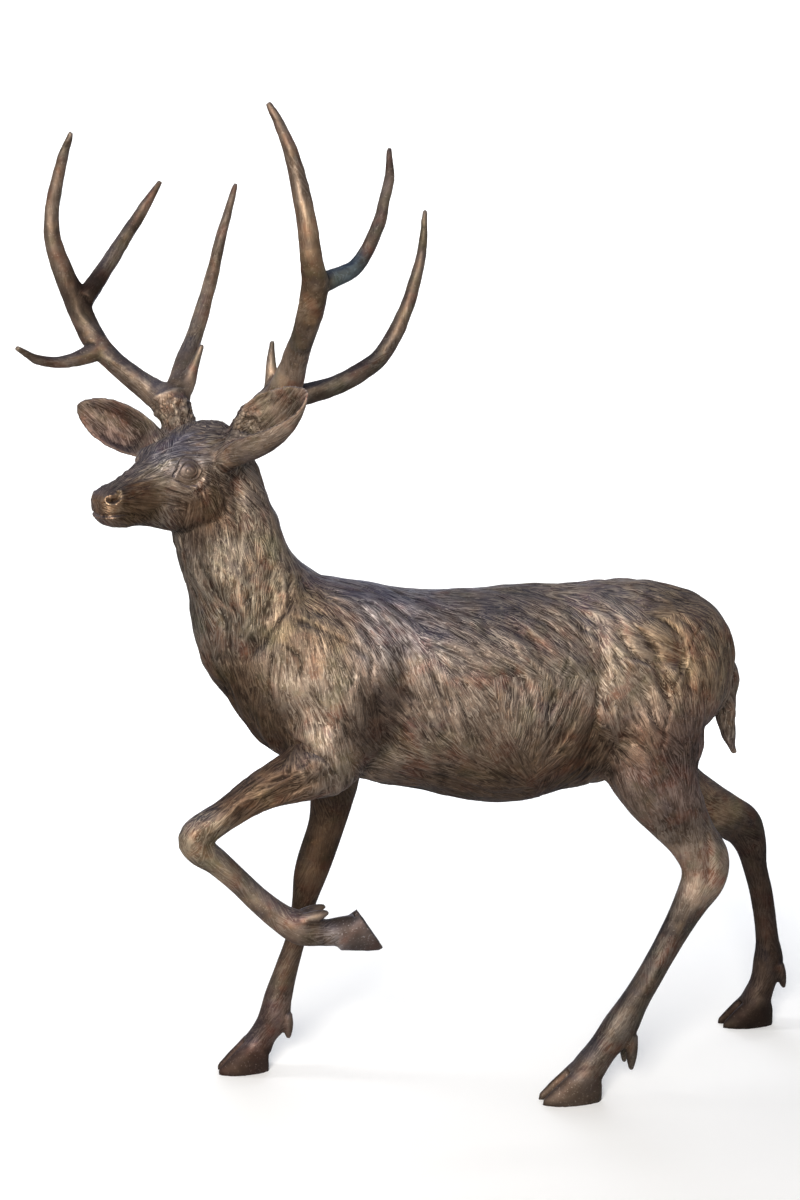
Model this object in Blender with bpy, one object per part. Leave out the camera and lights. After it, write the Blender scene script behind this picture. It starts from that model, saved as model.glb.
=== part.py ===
"""Bronze standing stag, one cast figure: Blender construction script.

Metres, +Z up, the stag faces -X and its left side is -Y.  Every mass is a closed
tube or loft worked out from named stations; the masses are fused into one skin,
the joins are filled like wax fillets, the carving is pressed in, and the skin is
then faceted.
"""
import math

import bmesh
import bpy
import numpy as np
from mathutils import Matrix, Vector

# ------------------------------------------------------------------ driving sizes
VOXEL = 0.0036          # grid the masses are fused on
FACETS = 9700           # triangles of the finished figure
SHIFT = (0.0225, 0.0267, 0.0)
FACE_SHARE = 1.2        # how strongly the face and hooves keep their facets
RING = 28               # points round a tube
STEP = 0.008            # spacing of rings along a tube

# trunk: x, top, bottom, half width, egg (positive = wider below), squareness
TRUNK = [
    (-0.462, 0.900, 0.800, 0.050, 0.00, 2.25),
    (-0.434, 0.950, 0.757, 0.085, 0.00, 2.25),
    (-0.388, 0.988, 0.693, 0.118, 0.00, 2.25),
    (-0.306, 0.998, 0.644, 0.142, 0.02, 2.25),
    (-0.205, 0.988, 0.618, 0.152, 0.05, 2.25),
    (-0.104, 0.970, 0.596, 0.163, 0.10, 2.25),
    (-0.003, 0.969, 0.570, 0.172, 0.12, 2.25),
    (0.088, 0.972, 0.561, 0.176, 0.12, 2.25),
    (0.179, 0.975, 0.578, 0.168, 0.10, 2.25),
    (0.270, 0.977, 0.592, 0.156, 0.04, 2.25),
    (0.351, 0.980, 0.630, 0.148, 0.00, 2.25),
    (0.425, 0.965, 0.659, 0.138, -0.02, 2.25),
    (0.477, 0.946, 0.685, 0.118, -0.04, 2.25),
    (0.516, 0.907, 0.725, 0.088, -0.05, 2.25),
    (0.536, 0.862, 0.770, 0.050, -0.05, 2.25),
]

# neck: x, y, z, half depth, half width
NECK = [
    (-0.320, 0.000, 0.826, 0.125, 0.100),
    (-0.366, 0.000, 0.897, 0.138, 0.111),
    (-0.398, 0.000, 0.952, 0.122, 0.097),
    (-0.420, 0.000, 1.003, 0.102, 0.083),
    (-0.436, 0.004, 1.053, 0.098, 0.068),
    (-0.447, 0.011, 1.104, 0.096, 0.056),
    (-0.449, 0.018, 1.154, 0.079, 0.049),
    (-0.450, 0.025, 1.205, 0.062, 0.047),
    (-0.463, 0.026, 1.232, 0.045, 0.042),
]

# legs: x, y, z, half depth, half width
NEAR_HIND = [
    (0.411, -0.050, 0.897, 0.080, 0.060),
    (0.390, -0.076, 0.816, 0.118, 0.075),
    (0.352, -0.090, 0.725, 0.104, 0.079),
    (0.343, -0.104, 0.644, 0.096, 0.069),
    (0.357, -0.118, 0.590, 0.077, 0.056),
    (0.387, -0.125, 0.541, 0.061, 0.044),
    (0.420, -0.125, 0.493, 0.049, 0.035),
    (0.447, -0.125, 0.448, 0.049, 0.030),
    (0.445, -0.125, 0.412, 0.045, 0.029),
    (0.421, -0.125, 0.368, 0.034, 0.026),
    (0.387, -0.125, 0.310, 0.027, 0.022),
    (0.346, -0.125, 0.240, 0.025, 0.021),
    (0.309, -0.125, 0.181, 0.027, 0.023),
    (0.278, -0.125, 0.131, 0.034, 0.027),
    (0.246, -0.125, 0.093, 0.029, 0.025),
    (0.220, -0.125, 0.060, 0.032, 0.027),
    (0.204, -0.125, 0.038, 0.034, 0.028),
]
FAR_HIND = [
    (0.431, 0.050, 0.887, 0.080, 0.060),
    (0.415, 0.078, 0.796, 0.110, 0.073),
    (0.402, 0.090, 0.705, 0.094, 0.073),
    (0.420, 0.098, 0.620, 0.076, 0.062),
    (0.488, 0.104, 0.535, 0.062, 0.048),
    (0.560, 0.111, 0.490, 0.053, 0.038),
    (0.612, 0.117, 0.462, 0.047, 0.031),
    (0.652, 0.122, 0.436, 0.045, 0.028),
    (0.674, 0.125, 0.396, 0.035, 0.026),
    (0.686, 0.125, 0.345, 0.026, 0.023),
    (0.704, 0.125, 0.280, 0.0245, 0.020),
    (0.720, 0.125, 0.183, 0.025, 0.021),
    (0.724, 0.125, 0.130, 0.033, 0.026),
    (0.711, 0.123, 0.086, 0.028, 0.024),
    (0.697, 0.121, 0.054, 0.032, 0.026),
    (0.688, 0.120, 0.036, 0.034, 0.027),
]
FAR_FORE = [
    (-0.296, 0.070, 0.816, 0.075, 0.045),
    (-0.271, 0.084, 0.725, 0.082, 0.055),
    (-0.241, 0.095, 0.644, 0.069, 0.052),
    (-0.234, 0.102, 0.574, 0.048, 0.040),
    (-0.244, 0.110, 0.503, 0.037, 0.032),
    (-0.267, 0.119, 0.427, 0.035, 0.030),
    (-0.278, 0.125, 0.387, 0.032, 0.029),
    (-0.288, 0.131, 0.337, 0.024, 0.022),
    (-0.301, 0.138, 0.272, 0.020, 0.019),
    (-0.322, 0.140, 0.203, 0.023, 0.020),
    (-0.340, 0.140, 0.143, 0.028, 0.024),
    (-0.350, 0.140, 0.100, 0.031, 0.026),
    (-0.369, 0.140, 0.071, 0.027, 0.025),
    (-0.384, 0.140, 0.046, 0.031, 0.027),
]
NEAR_FORE = [
    (-0.296, -0.072, 0.816, 0.080, 0.045),
    (-0.271, -0.086, 0.735, 0.088, 0.058),
    (-0.286, -0.098, 0.674, 0.068, 0.054),
    (-0.345, -0.110, 0.648, 0.046, 0.042),
    (-0.404, -0.120, 0.626, 0.036, 0.034),
    (-0.449, -0.126, 0.600, 0.029, 0.029),
    (-0.492, -0.130, 0.577, 0.029, 0.028),
    (-0.521, -0.130, 0.553, 0.029, 0.028),
    (-0.510, -0.130, 0.532, 0.027, 0.026),
    (-0.483, -0.130, 0.510, 0.023, 0.022),
    (-0.444, -0.126, 0.471, 0.021, 0.020),
    (-0.406, -0.122, 0.430, 0.022, 0.020),
    (-0.367, -0.120, 0.395, 0.025, 0.023),
    (-0.331, -0.120, 0.374, 0.030, 0.026),
    (-0.291, -0.120, 0.363, 0.024, 0.023),
    (-0.256, -0.120, 0.363, 0.025, 0.024),
    (-0.238, -0.120, 0.362, 0.027, 0.026),
]
TAIL = [
    (0.510, 0.000, 0.850, 0.030, 0.030),
    (0.536, 0.000, 0.786, 0.028, 0.030),
    (0.545, 0.000, 0.730, 0.022, 0.027),
    (0.544, 0.000, 0.695, 0.017, 0.022),
    (0.552, 0.000, 0.659, 0.012, 0.015),
    (0.566, 0.000, 0.624, 0.004, 0.006),
]

# hooves: sole middle x, y, z; toe direction x, z; length, width
HOOVES = [
    (0.180, -0.125, 0.000, -1.0, 0.0, 0.117, 0.064),
    (0.669, 0.120, 0.000, -1.0, 0.0, 0.114, 0.062),
    (-0.412, 0.140, 0.000, -1.0, 0.0, 0.100, 0.060),
    (-0.206, -0.120, 0.363, 0.55, -0.83, 0.080, 0.056),
]
# dewclaws: root x, y, z; point direction x, z; length
DEWCLAWS = [
    (0.299, -0.125, 0.102, -0.05, -1.0, 0.048),
    (0.742, 0.120, 0.118, 0.20, -1.0, 0.040),
    (-0.324, 0.140, 0.100, 0.05, -1.0, 0.036),
    (-0.320, -0.120, 0.396, 0.85, 0.25, 0.036),
]

# head frame: origin between the eyes, x to the nose, y to its left, z up
HEAD_AT = (-0.556, -0.044, 1.2015)
HEAD_TURN = (36.0, 8.0, -8.0)       # turned left, nose down, tilted, in degrees
# skull: forward, top, bottom, half width, egg, squareness
SKULL = [
    (0.147, -0.038, -0.060, 0.014, 0.0, 2.6),
    (0.142, -0.029, -0.075, 0.024, 0.0, 2.8),
    (0.131, -0.022, -0.086, 0.030, 0.0, 2.9),
    (0.111, -0.016, -0.092, 0.033, 0.0, 2.8),
    (0.085, -0.006, -0.094, 0.035, 0.04, 2.5),
    (0.050, 0.009, -0.100, 0.041, 0.0, 2.4),
    (0.015, 0.026, -0.112, 0.052, -0.08, 2.4),
    (-0.020, 0.044, -0.124, 0.062, -0.10, 2.4),
    (-0.060, 0.060, -0.130, 0.068, -0.10, 2.3),
    (-0.100, 0.066, -0.112, 0.073, -0.08, 2.3),
    (-0.130, 0.060, -0.075, 0.066, -0.05, 2.2),
    (-0.152, 0.030, -0.040, 0.048, 0.0, 2.1),
]
EYE = (-0.002, 0.063, -0.001)       # forward, out, up
EYE_R = 0.0145
# cheeks and brows: forward, out, up, then half sizes the same way
PADS = [
    (-0.060, 0.046, -0.066, 0.050, 0.028, 0.046),
    (-0.012, 0.034, 0.018, 0.046, 0.026, 0.022),
    (0.116, 0.017, -0.040, 0.020, 0.018, 0.019),
]
# ears: base, tip, hollow faces, width
EAR_NEAR = ((-0.088, 0.074, 0.010), (-0.126, 0.228, 0.136), (0.78, 0.20, 0.50), 0.043)
EAR_FAR = ((-0.062, -0.066, 0.008), (0.010, -0.228, 0.080), (0.80, 0.45, 0.30), 0.043)

EAR_AT = (0.00, 0.12, 0.25, 0.40, 0.55, 0.70, 0.82, 0.91, 0.97, 1.00)
EAR_WIDE = (0.55, 0.66, 0.84, 0.97, 1.00, 0.92, 0.75, 0.52, 0.30, 0.10)

# antlers in the head frame: forward, out (+ left), up, radius
ANTLERS = [
    # left antler: foot, main beam and brow-side point
    [(-0.125, 0.062, 0.030, 0.032), (-0.136, 0.078, 0.062, 0.028),
     (-0.152, 0.101, 0.090, 0.030), (-0.163, 0.130, 0.120, 0.029),
     (-0.150, 0.174, 0.182, 0.021), (-0.122, 0.224, 0.236, 0.0185),
     (-0.103, 0.260, 0.280, 0.0200), (-0.095, 0.276, 0.318, 0.020),
     (-0.075, 0.287, 0.362, 0.0165), (-0.062, 0.286, 0.436, 0.014),
     (-0.058, 0.262, 0.518, 0.010), (-0.056, 0.242, 0.557, 0.007),
     (-0.046, 0.225, 0.592, 0.003)],
    # left upper fork
    [(-0.090, 0.268, 0.312, 0.018), (-0.126, 0.280, 0.326, 0.014),
     (-0.172, 0.295, 0.347, 0.0115), (-0.226, 0.294, 0.409, 0.0095),
     (-0.253, 0.285, 0.452, 0.008), (-0.278, 0.273, 0.492, 0.006),
     (-0.291, 0.260, 0.532, 0.0025)],
    # left rear point
    [(-0.152, 0.106, 0.106, 0.024), (-0.198, 0.138, 0.116, 0.018),
     (-0.244, 0.168, 0.129, 0.016), (-0.286, 0.190, 0.148, 0.015),
     (-0.332, 0.208, 0.178, 0.0145), (-0.372, 0.231, 0.255, 0.0115),
     (-0.393, 0.236, 0.312, 0.0098), (-0.416, 0.232, 0.363, 0.0076),
     (-0.434, 0.222, 0.431, 0.0027)],
    # left small spike
    [(-0.158, 0.108, 0.105, 0.018), (-0.164, 0.104, 0.143, 0.0114),
     (-0.168, 0.098, 0.173, 0.007), (-0.179, 0.090, 0.208, 0.0026)],
    # right antler: foot and main beam
    [(-0.100, -0.069, 0.020, 0.034), (-0.105, -0.086, 0.060, 0.029),
     (-0.102, -0.107, 0.086, 0.030), (-0.094, -0.136, 0.102, 0.024),
     (-0.066, -0.199, 0.148, 0.0185), (-0.052, -0.241, 0.185, 0.0205),
     (-0.047, -0.269, 0.224, 0.0205), (-0.044, -0.289, 0.264, 0.0205),
     (-0.033, -0.299, 0.302, 0.018), (-0.015, -0.306, 0.366, 0.014),
     (-0.014, -0.302, 0.421, 0.0115), (-0.018, -0.286, 0.475, 0.0095),
     (-0.021, -0.270, 0.515, 0.007), (-0.024, -0.247, 0.553, 0.003)],
    # right upper fork
    [(-0.052, -0.276, 0.262, 0.017), (-0.094, -0.290, 0.293, 0.0145),
     (-0.140, -0.298, 0.335, 0.0125), (-0.182, -0.300, 0.380, 0.011),
     (-0.217, -0.296, 0.422, 0.009), (-0.253, -0.285, 0.473, 0.003)],
    # right front point
    [(-0.060, -0.228, 0.178, 0.018), (-0.031, -0.235, 0.169, 0.015),
     (-0.001, -0.240, 0.161, 0.0114), (0.038, -0.245, 0.158, 0.0085),
     (0.076, -0.245, 0.166, 0.007), (0.122, -0.240, 0.191, 0.003)],
    # right rear point
    [(-0.106, -0.100, 0.088, 0.025), (-0.140, -0.121, 0.113, 0.018),
     (-0.179, -0.147, 0.147, 0.0165), (-0.228, -0.172, 0.193, 0.0145),
     (-0.278, -0.195, 0.254, 0.0126), (-0.321, -0.213, 0.320, 0.0107),
     (-0.355, -0.224, 0.387, 0.0083), (-0.396, -0.229, 0.470, 0.003)],
    # right small spike
    [(-0.112, -0.102, 0.088, 0.022), (-0.146, -0.105, 0.114, 0.0148),
     (-0.161, -0.102, 0.144, 0.0088), (-0.179, -0.095, 0.186, 0.003)],
]


# ------------------------------------------------------------------ curve helpers
def spline(rows, step):
    """Cubic through the rows, resampled about every step metres."""
    p = np.asarray(rows, float)
    d = np.linalg.norm(np.diff(p[:, :3], axis=0), axis=1)
    t = np.concatenate([[0.0], np.cumsum(d)])
    m = np.empty_like(p)
    m[1:-1] = (p[2:] - p[:-2]) / (t[2:] - t[:-2])[:, None]
    m[0] = (p[1] - p[0]) / (t[1] - t[0])
    m[-1] = (p[-1] - p[-2]) / (t[-1] - t[-2])
    n = max(4, int(t[-1] / step))
    s = np.linspace(0.0, t[-1], n)
    k = np.clip(np.searchsorted(t, s, side="right") - 1, 0, len(t) - 2)
    h = (t[k + 1] - t[k])[:, None]
    u = ((s - t[k])[:, None]) / h
    a = 2 * u**3 - 3 * u**2 + 1
    b = u**3 - 2 * u**2 + u
    c = -2 * u**3 + 3 * u**2
    e = u**3 - u**2
    return a * p[k] + b * h * m[k] + c * p[k + 1] + e * h * m[k + 1]


def skin(rings):
    """Closed tube over rings of shape (m, n, 3) with a pole at each end."""
    m, n, _ = rings.shape
    v = np.vstack([rings.reshape(-1, 3), rings[0].mean(0), rings[-1].mean(0)])
    i = np.arange(m - 1)[:, None] * n
    j = np.arange(n)[None, :]
    k = (j + 1) % n
    quads = np.stack([i + j, i + k, i + n + k, i + n + j], -1).reshape(-1, 4)
    faces = [tuple(q) for q in quads.tolist()]
    for a in range(n):
        b = (a + 1) % n
        faces.append((m * n, b, a))
        faces.append((m * n + 1, (m - 1) * n + a, (m - 1) * n + b))
    return v, faces


def tube(rows, side=(0.0, 1.0, 0.0), step=STEP, ring=RING):
    """Rows of x, y, z, half depth[, half width] swept with an elliptic section."""
    r = spline(rows, step)
    c = r[:, :3]
    t = np.gradient(c, axis=0)
    t /= np.linalg.norm(t, axis=1)[:, None]
    s = np.tile(np.asarray(side, float), (len(c), 1))
    s -= (s * t).sum(1)[:, None] * t
    s /= np.linalg.norm(s, axis=1)[:, None]
    f = np.cross(t, s)
    a = np.linspace(0.0, 2 * math.pi, ring, endpoint=False)
    depth = r[:, 3]
    width = r[:, -1]
    rings = (c[:, None] + f[:, None] * (depth[:, None] * np.cos(a))[..., None]
             + s[:, None] * (width[:, None] * np.sin(a))[..., None])
    return skin(rings)


def barrel(rows, step=STEP, ring=40):
    """Rows of x, top, bottom, half width, egg, squareness: upright sections along x."""
    p = np.asarray(rows, float)
    q = np.column_stack([p[:, 0], 0 * p[:, 0], 0 * p[:, 0], p[:, 1:]])
    r = spline(q, step)
    a = np.linspace(0.0, 2 * math.pi, ring, endpoint=False)
    ca = np.cos(a)
    sa = np.sin(a)
    power = r[:, 7:8]
    up = np.sign(ca) * np.abs(ca) ** (2 / power)
    out = np.sign(sa) * np.abs(sa) ** (2 / power)
    mid = (r[:, 3] + r[:, 4]) / 2
    half = (r[:, 3] - r[:, 4]) / 2
    z = mid[:, None] + half[:, None] * up
    y = r[:, 5][:, None] * out * (1 - r[:, 6][:, None] * up)
    x = np.repeat(r[:, 0][:, None], ring, 1)
    return skin(np.stack([x, y, z], -1))


def head_matrix():
    """Columns forward, left and up of the turned head."""
    yaw, pitch, roll = [math.radians(v) for v in HEAD_TURN]
    f = np.array([-math.cos(yaw) * math.cos(pitch), -math.sin(yaw) * math.cos(pitch),
                  -math.sin(pitch)])
    s = np.cross([0.0, 0.0, 1.0], f)
    s /= np.linalg.norm(s)
    u = np.cross(f, s)
    left = s * math.cos(roll) + u * math.sin(roll)
    up = -s * math.sin(roll) + u * math.cos(roll)
    return np.stack([f, left, up], 1)


HEAD = head_matrix()


def to_body(v):
    """Head-frame points in the drawing frame."""
    return np.asarray(v, float) @ HEAD.T + np.array(HEAD_AT)


def claw(x, y, z, dx, dz, length, half_width, side):
    """One half of a cloven hoof: flat sole, sloping wall, pointed toe."""
    f = np.array([dx, 0.0, dz]) / math.hypot(dx, dz)
    u = np.array([f[2], 0.0, -f[0]])
    s = np.array([0.0, 1.0, 0.0])
    levels = [(0.000, 0.00, 1.00, 0.98), (0.010, -0.01, 0.99, 1.00), (0.030, -0.10, 0.80, 1.00),
              (0.048, -0.18, 0.58, 0.92), (0.064, -0.24, 0.38, 0.70)]
    a = np.linspace(0.0, 2 * math.pi, 24, endpoint=False)
    rings = []
    for height, back, long, wide in spline_levels(levels):
        ca = np.cos(a)
        sa = np.sin(a)
        toe = 1.0 - 0.42 * np.clip(ca, 0, 1) ** 1.5
        px = back * length + long * length / 2 * np.sign(ca) * np.abs(ca) ** 0.85
        py = side * half_width * 0.54 + wide * half_width * 0.49 * sa * toe
        py = py - side * half_width * 0.10 * np.clip(ca, 0, 1) ** 2
        rings.append(np.array([x, y, z]) + px[:, None] * f + py[:, None] * s + height * u)
    return skin(np.array(rings))


def spline_levels(levels):
    """Levels of a claw, closer together."""
    p = np.asarray(levels, float)
    h = np.linspace(p[0, 0], p[-1, 0], 12)
    return np.column_stack([h] + [np.interp(h, p[:, 0], p[:, k]) for k in (1, 2, 3)])


def dewclaw(x, y, z, dx, dz, length):
    """A pair of small horn points behind the fetlock."""
    d = np.array([dx, 0.0, dz]) / math.hypot(dx, dz)
    out = []
    for side in (-1, 1):
        rows = []
        for t, r in ((-0.35, 0.011), (0.2, 0.0115), (0.65, 0.0085), (1.0, 0.0035)):
            p = np.array([x, y + side * (0.014 + 0.004 * t), z]) + d * length * t
            rows.append((p[0], p[1], p[2], r))
        out.append(tube(rows, step=0.004, ring=14))
    return out


def ear(base, tip, face, width):
    """Leaf-shaped cup: outer back arc, inner hollow arc, closed at the root."""
    b = np.array(base)
    t = np.array(tip)
    ax = t - b
    length = np.linalg.norm(ax)
    ax /= length
    fc = np.array(face) - np.dot(face, ax) * ax
    fc /= np.linalg.norm(fc)
    sd = np.cross(ax, fc)
    rings = []
    th = np.linspace(0.0, math.pi, 15)
    for s in np.linspace(-0.10, 1.0, 30):
        q = max(s, 0.0)
        w = width * np.interp(q, EAR_AT, EAR_WIDE)
        d = w * (0.95 - 0.45 * q)
        wall = 0.0105
        opening = min(1.0, max(0.0, (q - 0.10) / 0.22))
        inner = (1 - opening) * 0.75 * d - opening * max(d - wall, 0.1 * d)
        outer = [(w * math.cos(v), -d * math.sin(v)) for v in th]
        back = [((w - 0.55 * wall * opening) * math.cos(v), inner * math.sin(v)) for v in th[::-1]]
        prof = outer + back[1:-1]
        bend = 0.012 * math.sin(math.pi * q)
        c = b + ax * length * s - fc * bend
        rings.append([c + sd * p + fc * (r + 0.35 * d) for p, r in prof])
    return skin(np.array(rings))


# ------------------------------------------------------------------ gather masses
def gather():
    """All the closed masses of the figure in the drawing frame."""
    parts = [barrel(TRUNK), tube(NECK), tube(TAIL)]
    for rows in (NEAR_HIND, FAR_HIND, FAR_FORE, NEAR_FORE):
        parts.append(tube(rows))
    for x, y, z, dx, dz, length, width in HOOVES:
        for side in (-1, 1):
            parts.append(claw(x, y, z, dx, dz, length, width / 2, side))
    for row in DEWCLAWS:
        parts.extend(dewclaw(*row))
    v, f = barrel(SKULL, step=0.006)
    parts.append((to_body(v), f))
    for row in PADS:
        for side in (-1, 1):
            v, f = ball((row[0], side * row[1], row[2]), row[3:])
            parts.append((to_body(v), f))
    for data in (EAR_NEAR, EAR_FAR):
        v, f = ear(*data)
        parts.append((to_body(v), f))
    for rows in ANTLERS:
        rows = [(x, y, z, r * 1.03 + 0.0012) for x, y, z, r in rows]
        v, f = tube(rows, side=(0.3, 0.2, 0.9), step=0.006, ring=20)
        parts.append((to_body(v), f))
    return parts


def ball(centre, radius):
    """Small closed ball, or an egg with three half sizes."""
    a = np.linspace(0.08, math.pi - 0.08, 12)
    b = np.linspace(0.0, 2 * math.pi, 18, endpoint=False)
    x = np.repeat(np.cos(a)[:, None], 18, 1)
    y = np.sin(a)[:, None] * np.cos(b)
    z = np.sin(a)[:, None] * np.sin(b)
    return skin(np.array(centre) + np.array(radius) * np.stack([x, y, z], -1))


def mesh_object(name, v, f):
    """Plain mesh object from arrays."""
    me = bpy.data.meshes.new(name)
    me.from_pydata(np.asarray(v).tolist(), [], f)
    me.update()
    ob = bpy.data.objects.new(name, me)
    bpy.context.scene.collection.objects.link(ob)
    return ob


def evaluated(ob):
    """Vertices and faces of the object after its modifiers."""
    dg = bpy.context.evaluated_depsgraph_get()
    me = ob.evaluated_get(dg).to_mesh()
    n = len(me.vertices)
    v = np.empty(n * 3)
    me.vertices.foreach_get("co", v)
    count = np.empty(len(me.polygons), int)
    me.polygons.foreach_get("loop_total", count)
    loops = np.empty(len(me.loops), int)
    me.loops.foreach_get("vertex_index", loops)
    start = np.concatenate([[0], np.cumsum(count)[:-1]])
    faces = [tuple(loops[s:s + c].tolist()) for s, c in zip(start, count)]
    ob.evaluated_get(dg).to_mesh_clear()
    return v.reshape(-1, 3), faces


def outward(v, f):
    """Flip the whole shell if its volume is negative."""
    vol = 0.0
    for q in f:
        a = v[q[0]]
        for k in range(1, len(q) - 1):
            vol += np.dot(a, np.cross(v[q[k]], v[q[k + 1]]))
    return f if vol > 0 else [tuple(reversed(q)) for q in f]


def fuse(parts, voxel):
    """One skin round all the masses."""
    verts = []
    faces = []
    base = 0
    for v, f in parts:
        v = np.asarray(v)
        f = outward(v, f)
        verts.append(v)
        faces.extend([tuple(i + base for i in q) for q in f])
        base += len(v)
    ob = mesh_object("masses", np.vstack(verts), faces)
    mod = ob.modifiers.new("fuse", "REMESH")
    mod.mode = "VOXEL"
    mod.voxel_size = voxel
    v, f = evaluated(ob)
    bpy.data.objects.remove(ob)
    return v, f


# ------------------------------------------------------------------ skin work
class Skin:
    """Vertex skin with neighbours and normals, worked in whole arrays."""

    def __init__(self, v, f):
        self.v = v
        self.f = f
        q = np.array([(x + (x[-1],))[:4] for x in f])
        self.q = q
        e = np.vstack([q[:, [0, 1]], q[:, [1, 2]], q[:, [2, 3]], q[:, [3, 0]]])
        e = e[e[:, 0] != e[:, 1]]
        e = np.unique(np.sort(e, 1), axis=0)
        self.a = np.concatenate([e[:, 0], e[:, 1]])
        self.b = np.concatenate([e[:, 1], e[:, 0]])
        self.deg = np.bincount(self.a, minlength=len(v)).astype(float)

    def mean(self, x):
        """Average of the neighbours' values."""
        if x.ndim == 1:
            return np.bincount(self.a, x[self.b], len(self.v)) / self.deg
        return np.stack([np.bincount(self.a, x[self.b, k], len(self.v)) / self.deg
                         for k in range(3)], 1)

    def normals(self):
        """Area-weighted vertex normals."""
        p = self.v[self.q]
        n = np.cross(p[:, 2] - p[:, 0], p[:, 3] - p[:, 1])
        out = np.zeros_like(self.v)
        for k in range(4):
            for c in range(3):
                out[:, c] += np.bincount(self.q[:, k], n[:, c], len(self.v))
        return out / np.maximum(np.linalg.norm(out, axis=1)[:, None], 1e-12)

    def fill(self, rounds, weight):
        """Fill hollow joins only, as wax is wiped into a corner."""
        for _ in range(rounds):
            n = self.normals()
            d = self.mean(self.v) - self.v
            s = (d * n).sum(1)
            s = np.clip(s, 0.0, None)
            self.v += n * (s * weight)[:, None] * 0.9

    def smooth(self, rounds, weight):
        """Even smoothing that keeps the volume."""
        for k in range(rounds):
            self.v += (self.mean(self.v) - self.v) * (0.5 * weight)[:, None]
            self.v -= (self.mean(self.v) - self.v) * (0.53 * weight)[:, None]


def segment_distance(p, path):
    """Distance of 2-D or 3-D points to a path."""
    best = np.full(len(p), 1e9)
    path = np.asarray(path, float)
    for a, b in zip(path[:-1], path[1:]):
        d = b - a
        t = np.clip(((p - a) @ d) / max(d @ d, 1e-12), 0.0, 1.0)
        best = np.minimum(best, np.linalg.norm(p - a - t[:, None] * d, axis=1))
    return best


def press(skin_, path, width, depth, side=0, frame="body", within=None):
    """Raise (+) or sink (-) the skin along a side-view path on one or both flanks."""
    n = skin_.normals()
    v = skin_.v
    if frame == "head":
        v = (v - np.array(HEAD_AT)) @ HEAD
        n = n @ HEAD
    sides = (-1, 1) if side == 0 else (side,)
    d = segment_distance(v[:, [0, 2]], path)
    fall = np.exp(-(d / width) ** 2)
    total = np.zeros(len(v))
    for s in sides:
        total += fall * np.clip(n[:, 1] * s * 2.2, 0.0, 1.0) * (v[:, 1] * s > -0.01)
    if within is not None:
        total *= within(v)
    skin_.v = skin_.v + skin_.normals() * (total * depth)[:, None]


def ring(skin_, centre, radius, width, depth):
    """Raise or sink a round welt about a point of the head."""
    c = to_body(centre)
    out = HEAD @ np.array([0.0, math.copysign(1.0, centre[1]), 0.0])
    p = skin_.v - c
    along = p @ out
    flat = np.linalg.norm(p - along[:, None] * out, axis=1)
    fall = np.exp(-((flat - radius) / width) ** 2) * (np.abs(along) < 0.03)
    skin_.v = skin_.v + skin_.normals() * (fall * depth)[:, None]


def dome(skin_, centre, radius, depth):
    """Round boss (+) or socket (-) on the side of the head, pushed straight out."""
    c = to_body(centre)
    out = HEAD @ np.array([0.25, math.copysign(1.0, centre[1]), 0.05])
    out /= np.linalg.norm(out)
    p = skin_.v - c
    along = p @ out
    flat = np.linalg.norm(p - along[:, None] * out, axis=1)
    q = np.clip(1.0 - (flat / radius) ** 2, 0.0, 1.0)
    skin_.v = skin_.v + out * (np.sqrt(q) * q**0.3 * depth * (np.abs(along) < 0.035))[:, None]


def blob(skin_, centre, radius, depth, frame="body"):
    """Raise (+) or sink (-) a round patch about a point."""
    c = to_body(centre) if frame == "head" else np.array(centre, float)
    d = np.linalg.norm(skin_.v - c, axis=1)
    skin_.v = skin_.v + skin_.normals() * (np.exp(-(d / radius) ** 2) * depth)[:, None]


def region(v):
    """1 on the trunk, neck and thighs, less on slender parts."""
    w = np.clip((v[:, 2] - 0.50) / 0.12, 0.15, 1.0)
    h = (v - np.array(HEAD_AT)) @ HEAD
    r = np.linalg.norm(h - np.array([-0.02, 0.0, -0.02]), axis=1)
    headness = np.clip((0.24 - r) / 0.10, 0.0, 1.0)
    horn = np.clip((h[:, 2] - 0.05) / 0.03, 0.0, 1.0)
    horn *= np.clip((v[:, 2] - 1.16) / 0.05, 0.0, 1.0)
    w = w * (1 - 0.55 * headness)
    ear = np.clip((np.abs(h[:, 1]) - 0.075) / 0.02, 0, 1) * np.clip((0.16 - h[:, 2]) / 0.03, 0, 1)
    ear *= (h[:, 0] > -0.135) * np.clip((v[:, 2] - 1.16) / 0.05, 0.0, 1.0)
    return np.maximum(w * (1 - 0.85 * horn), 0.8 * ear)


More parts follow.
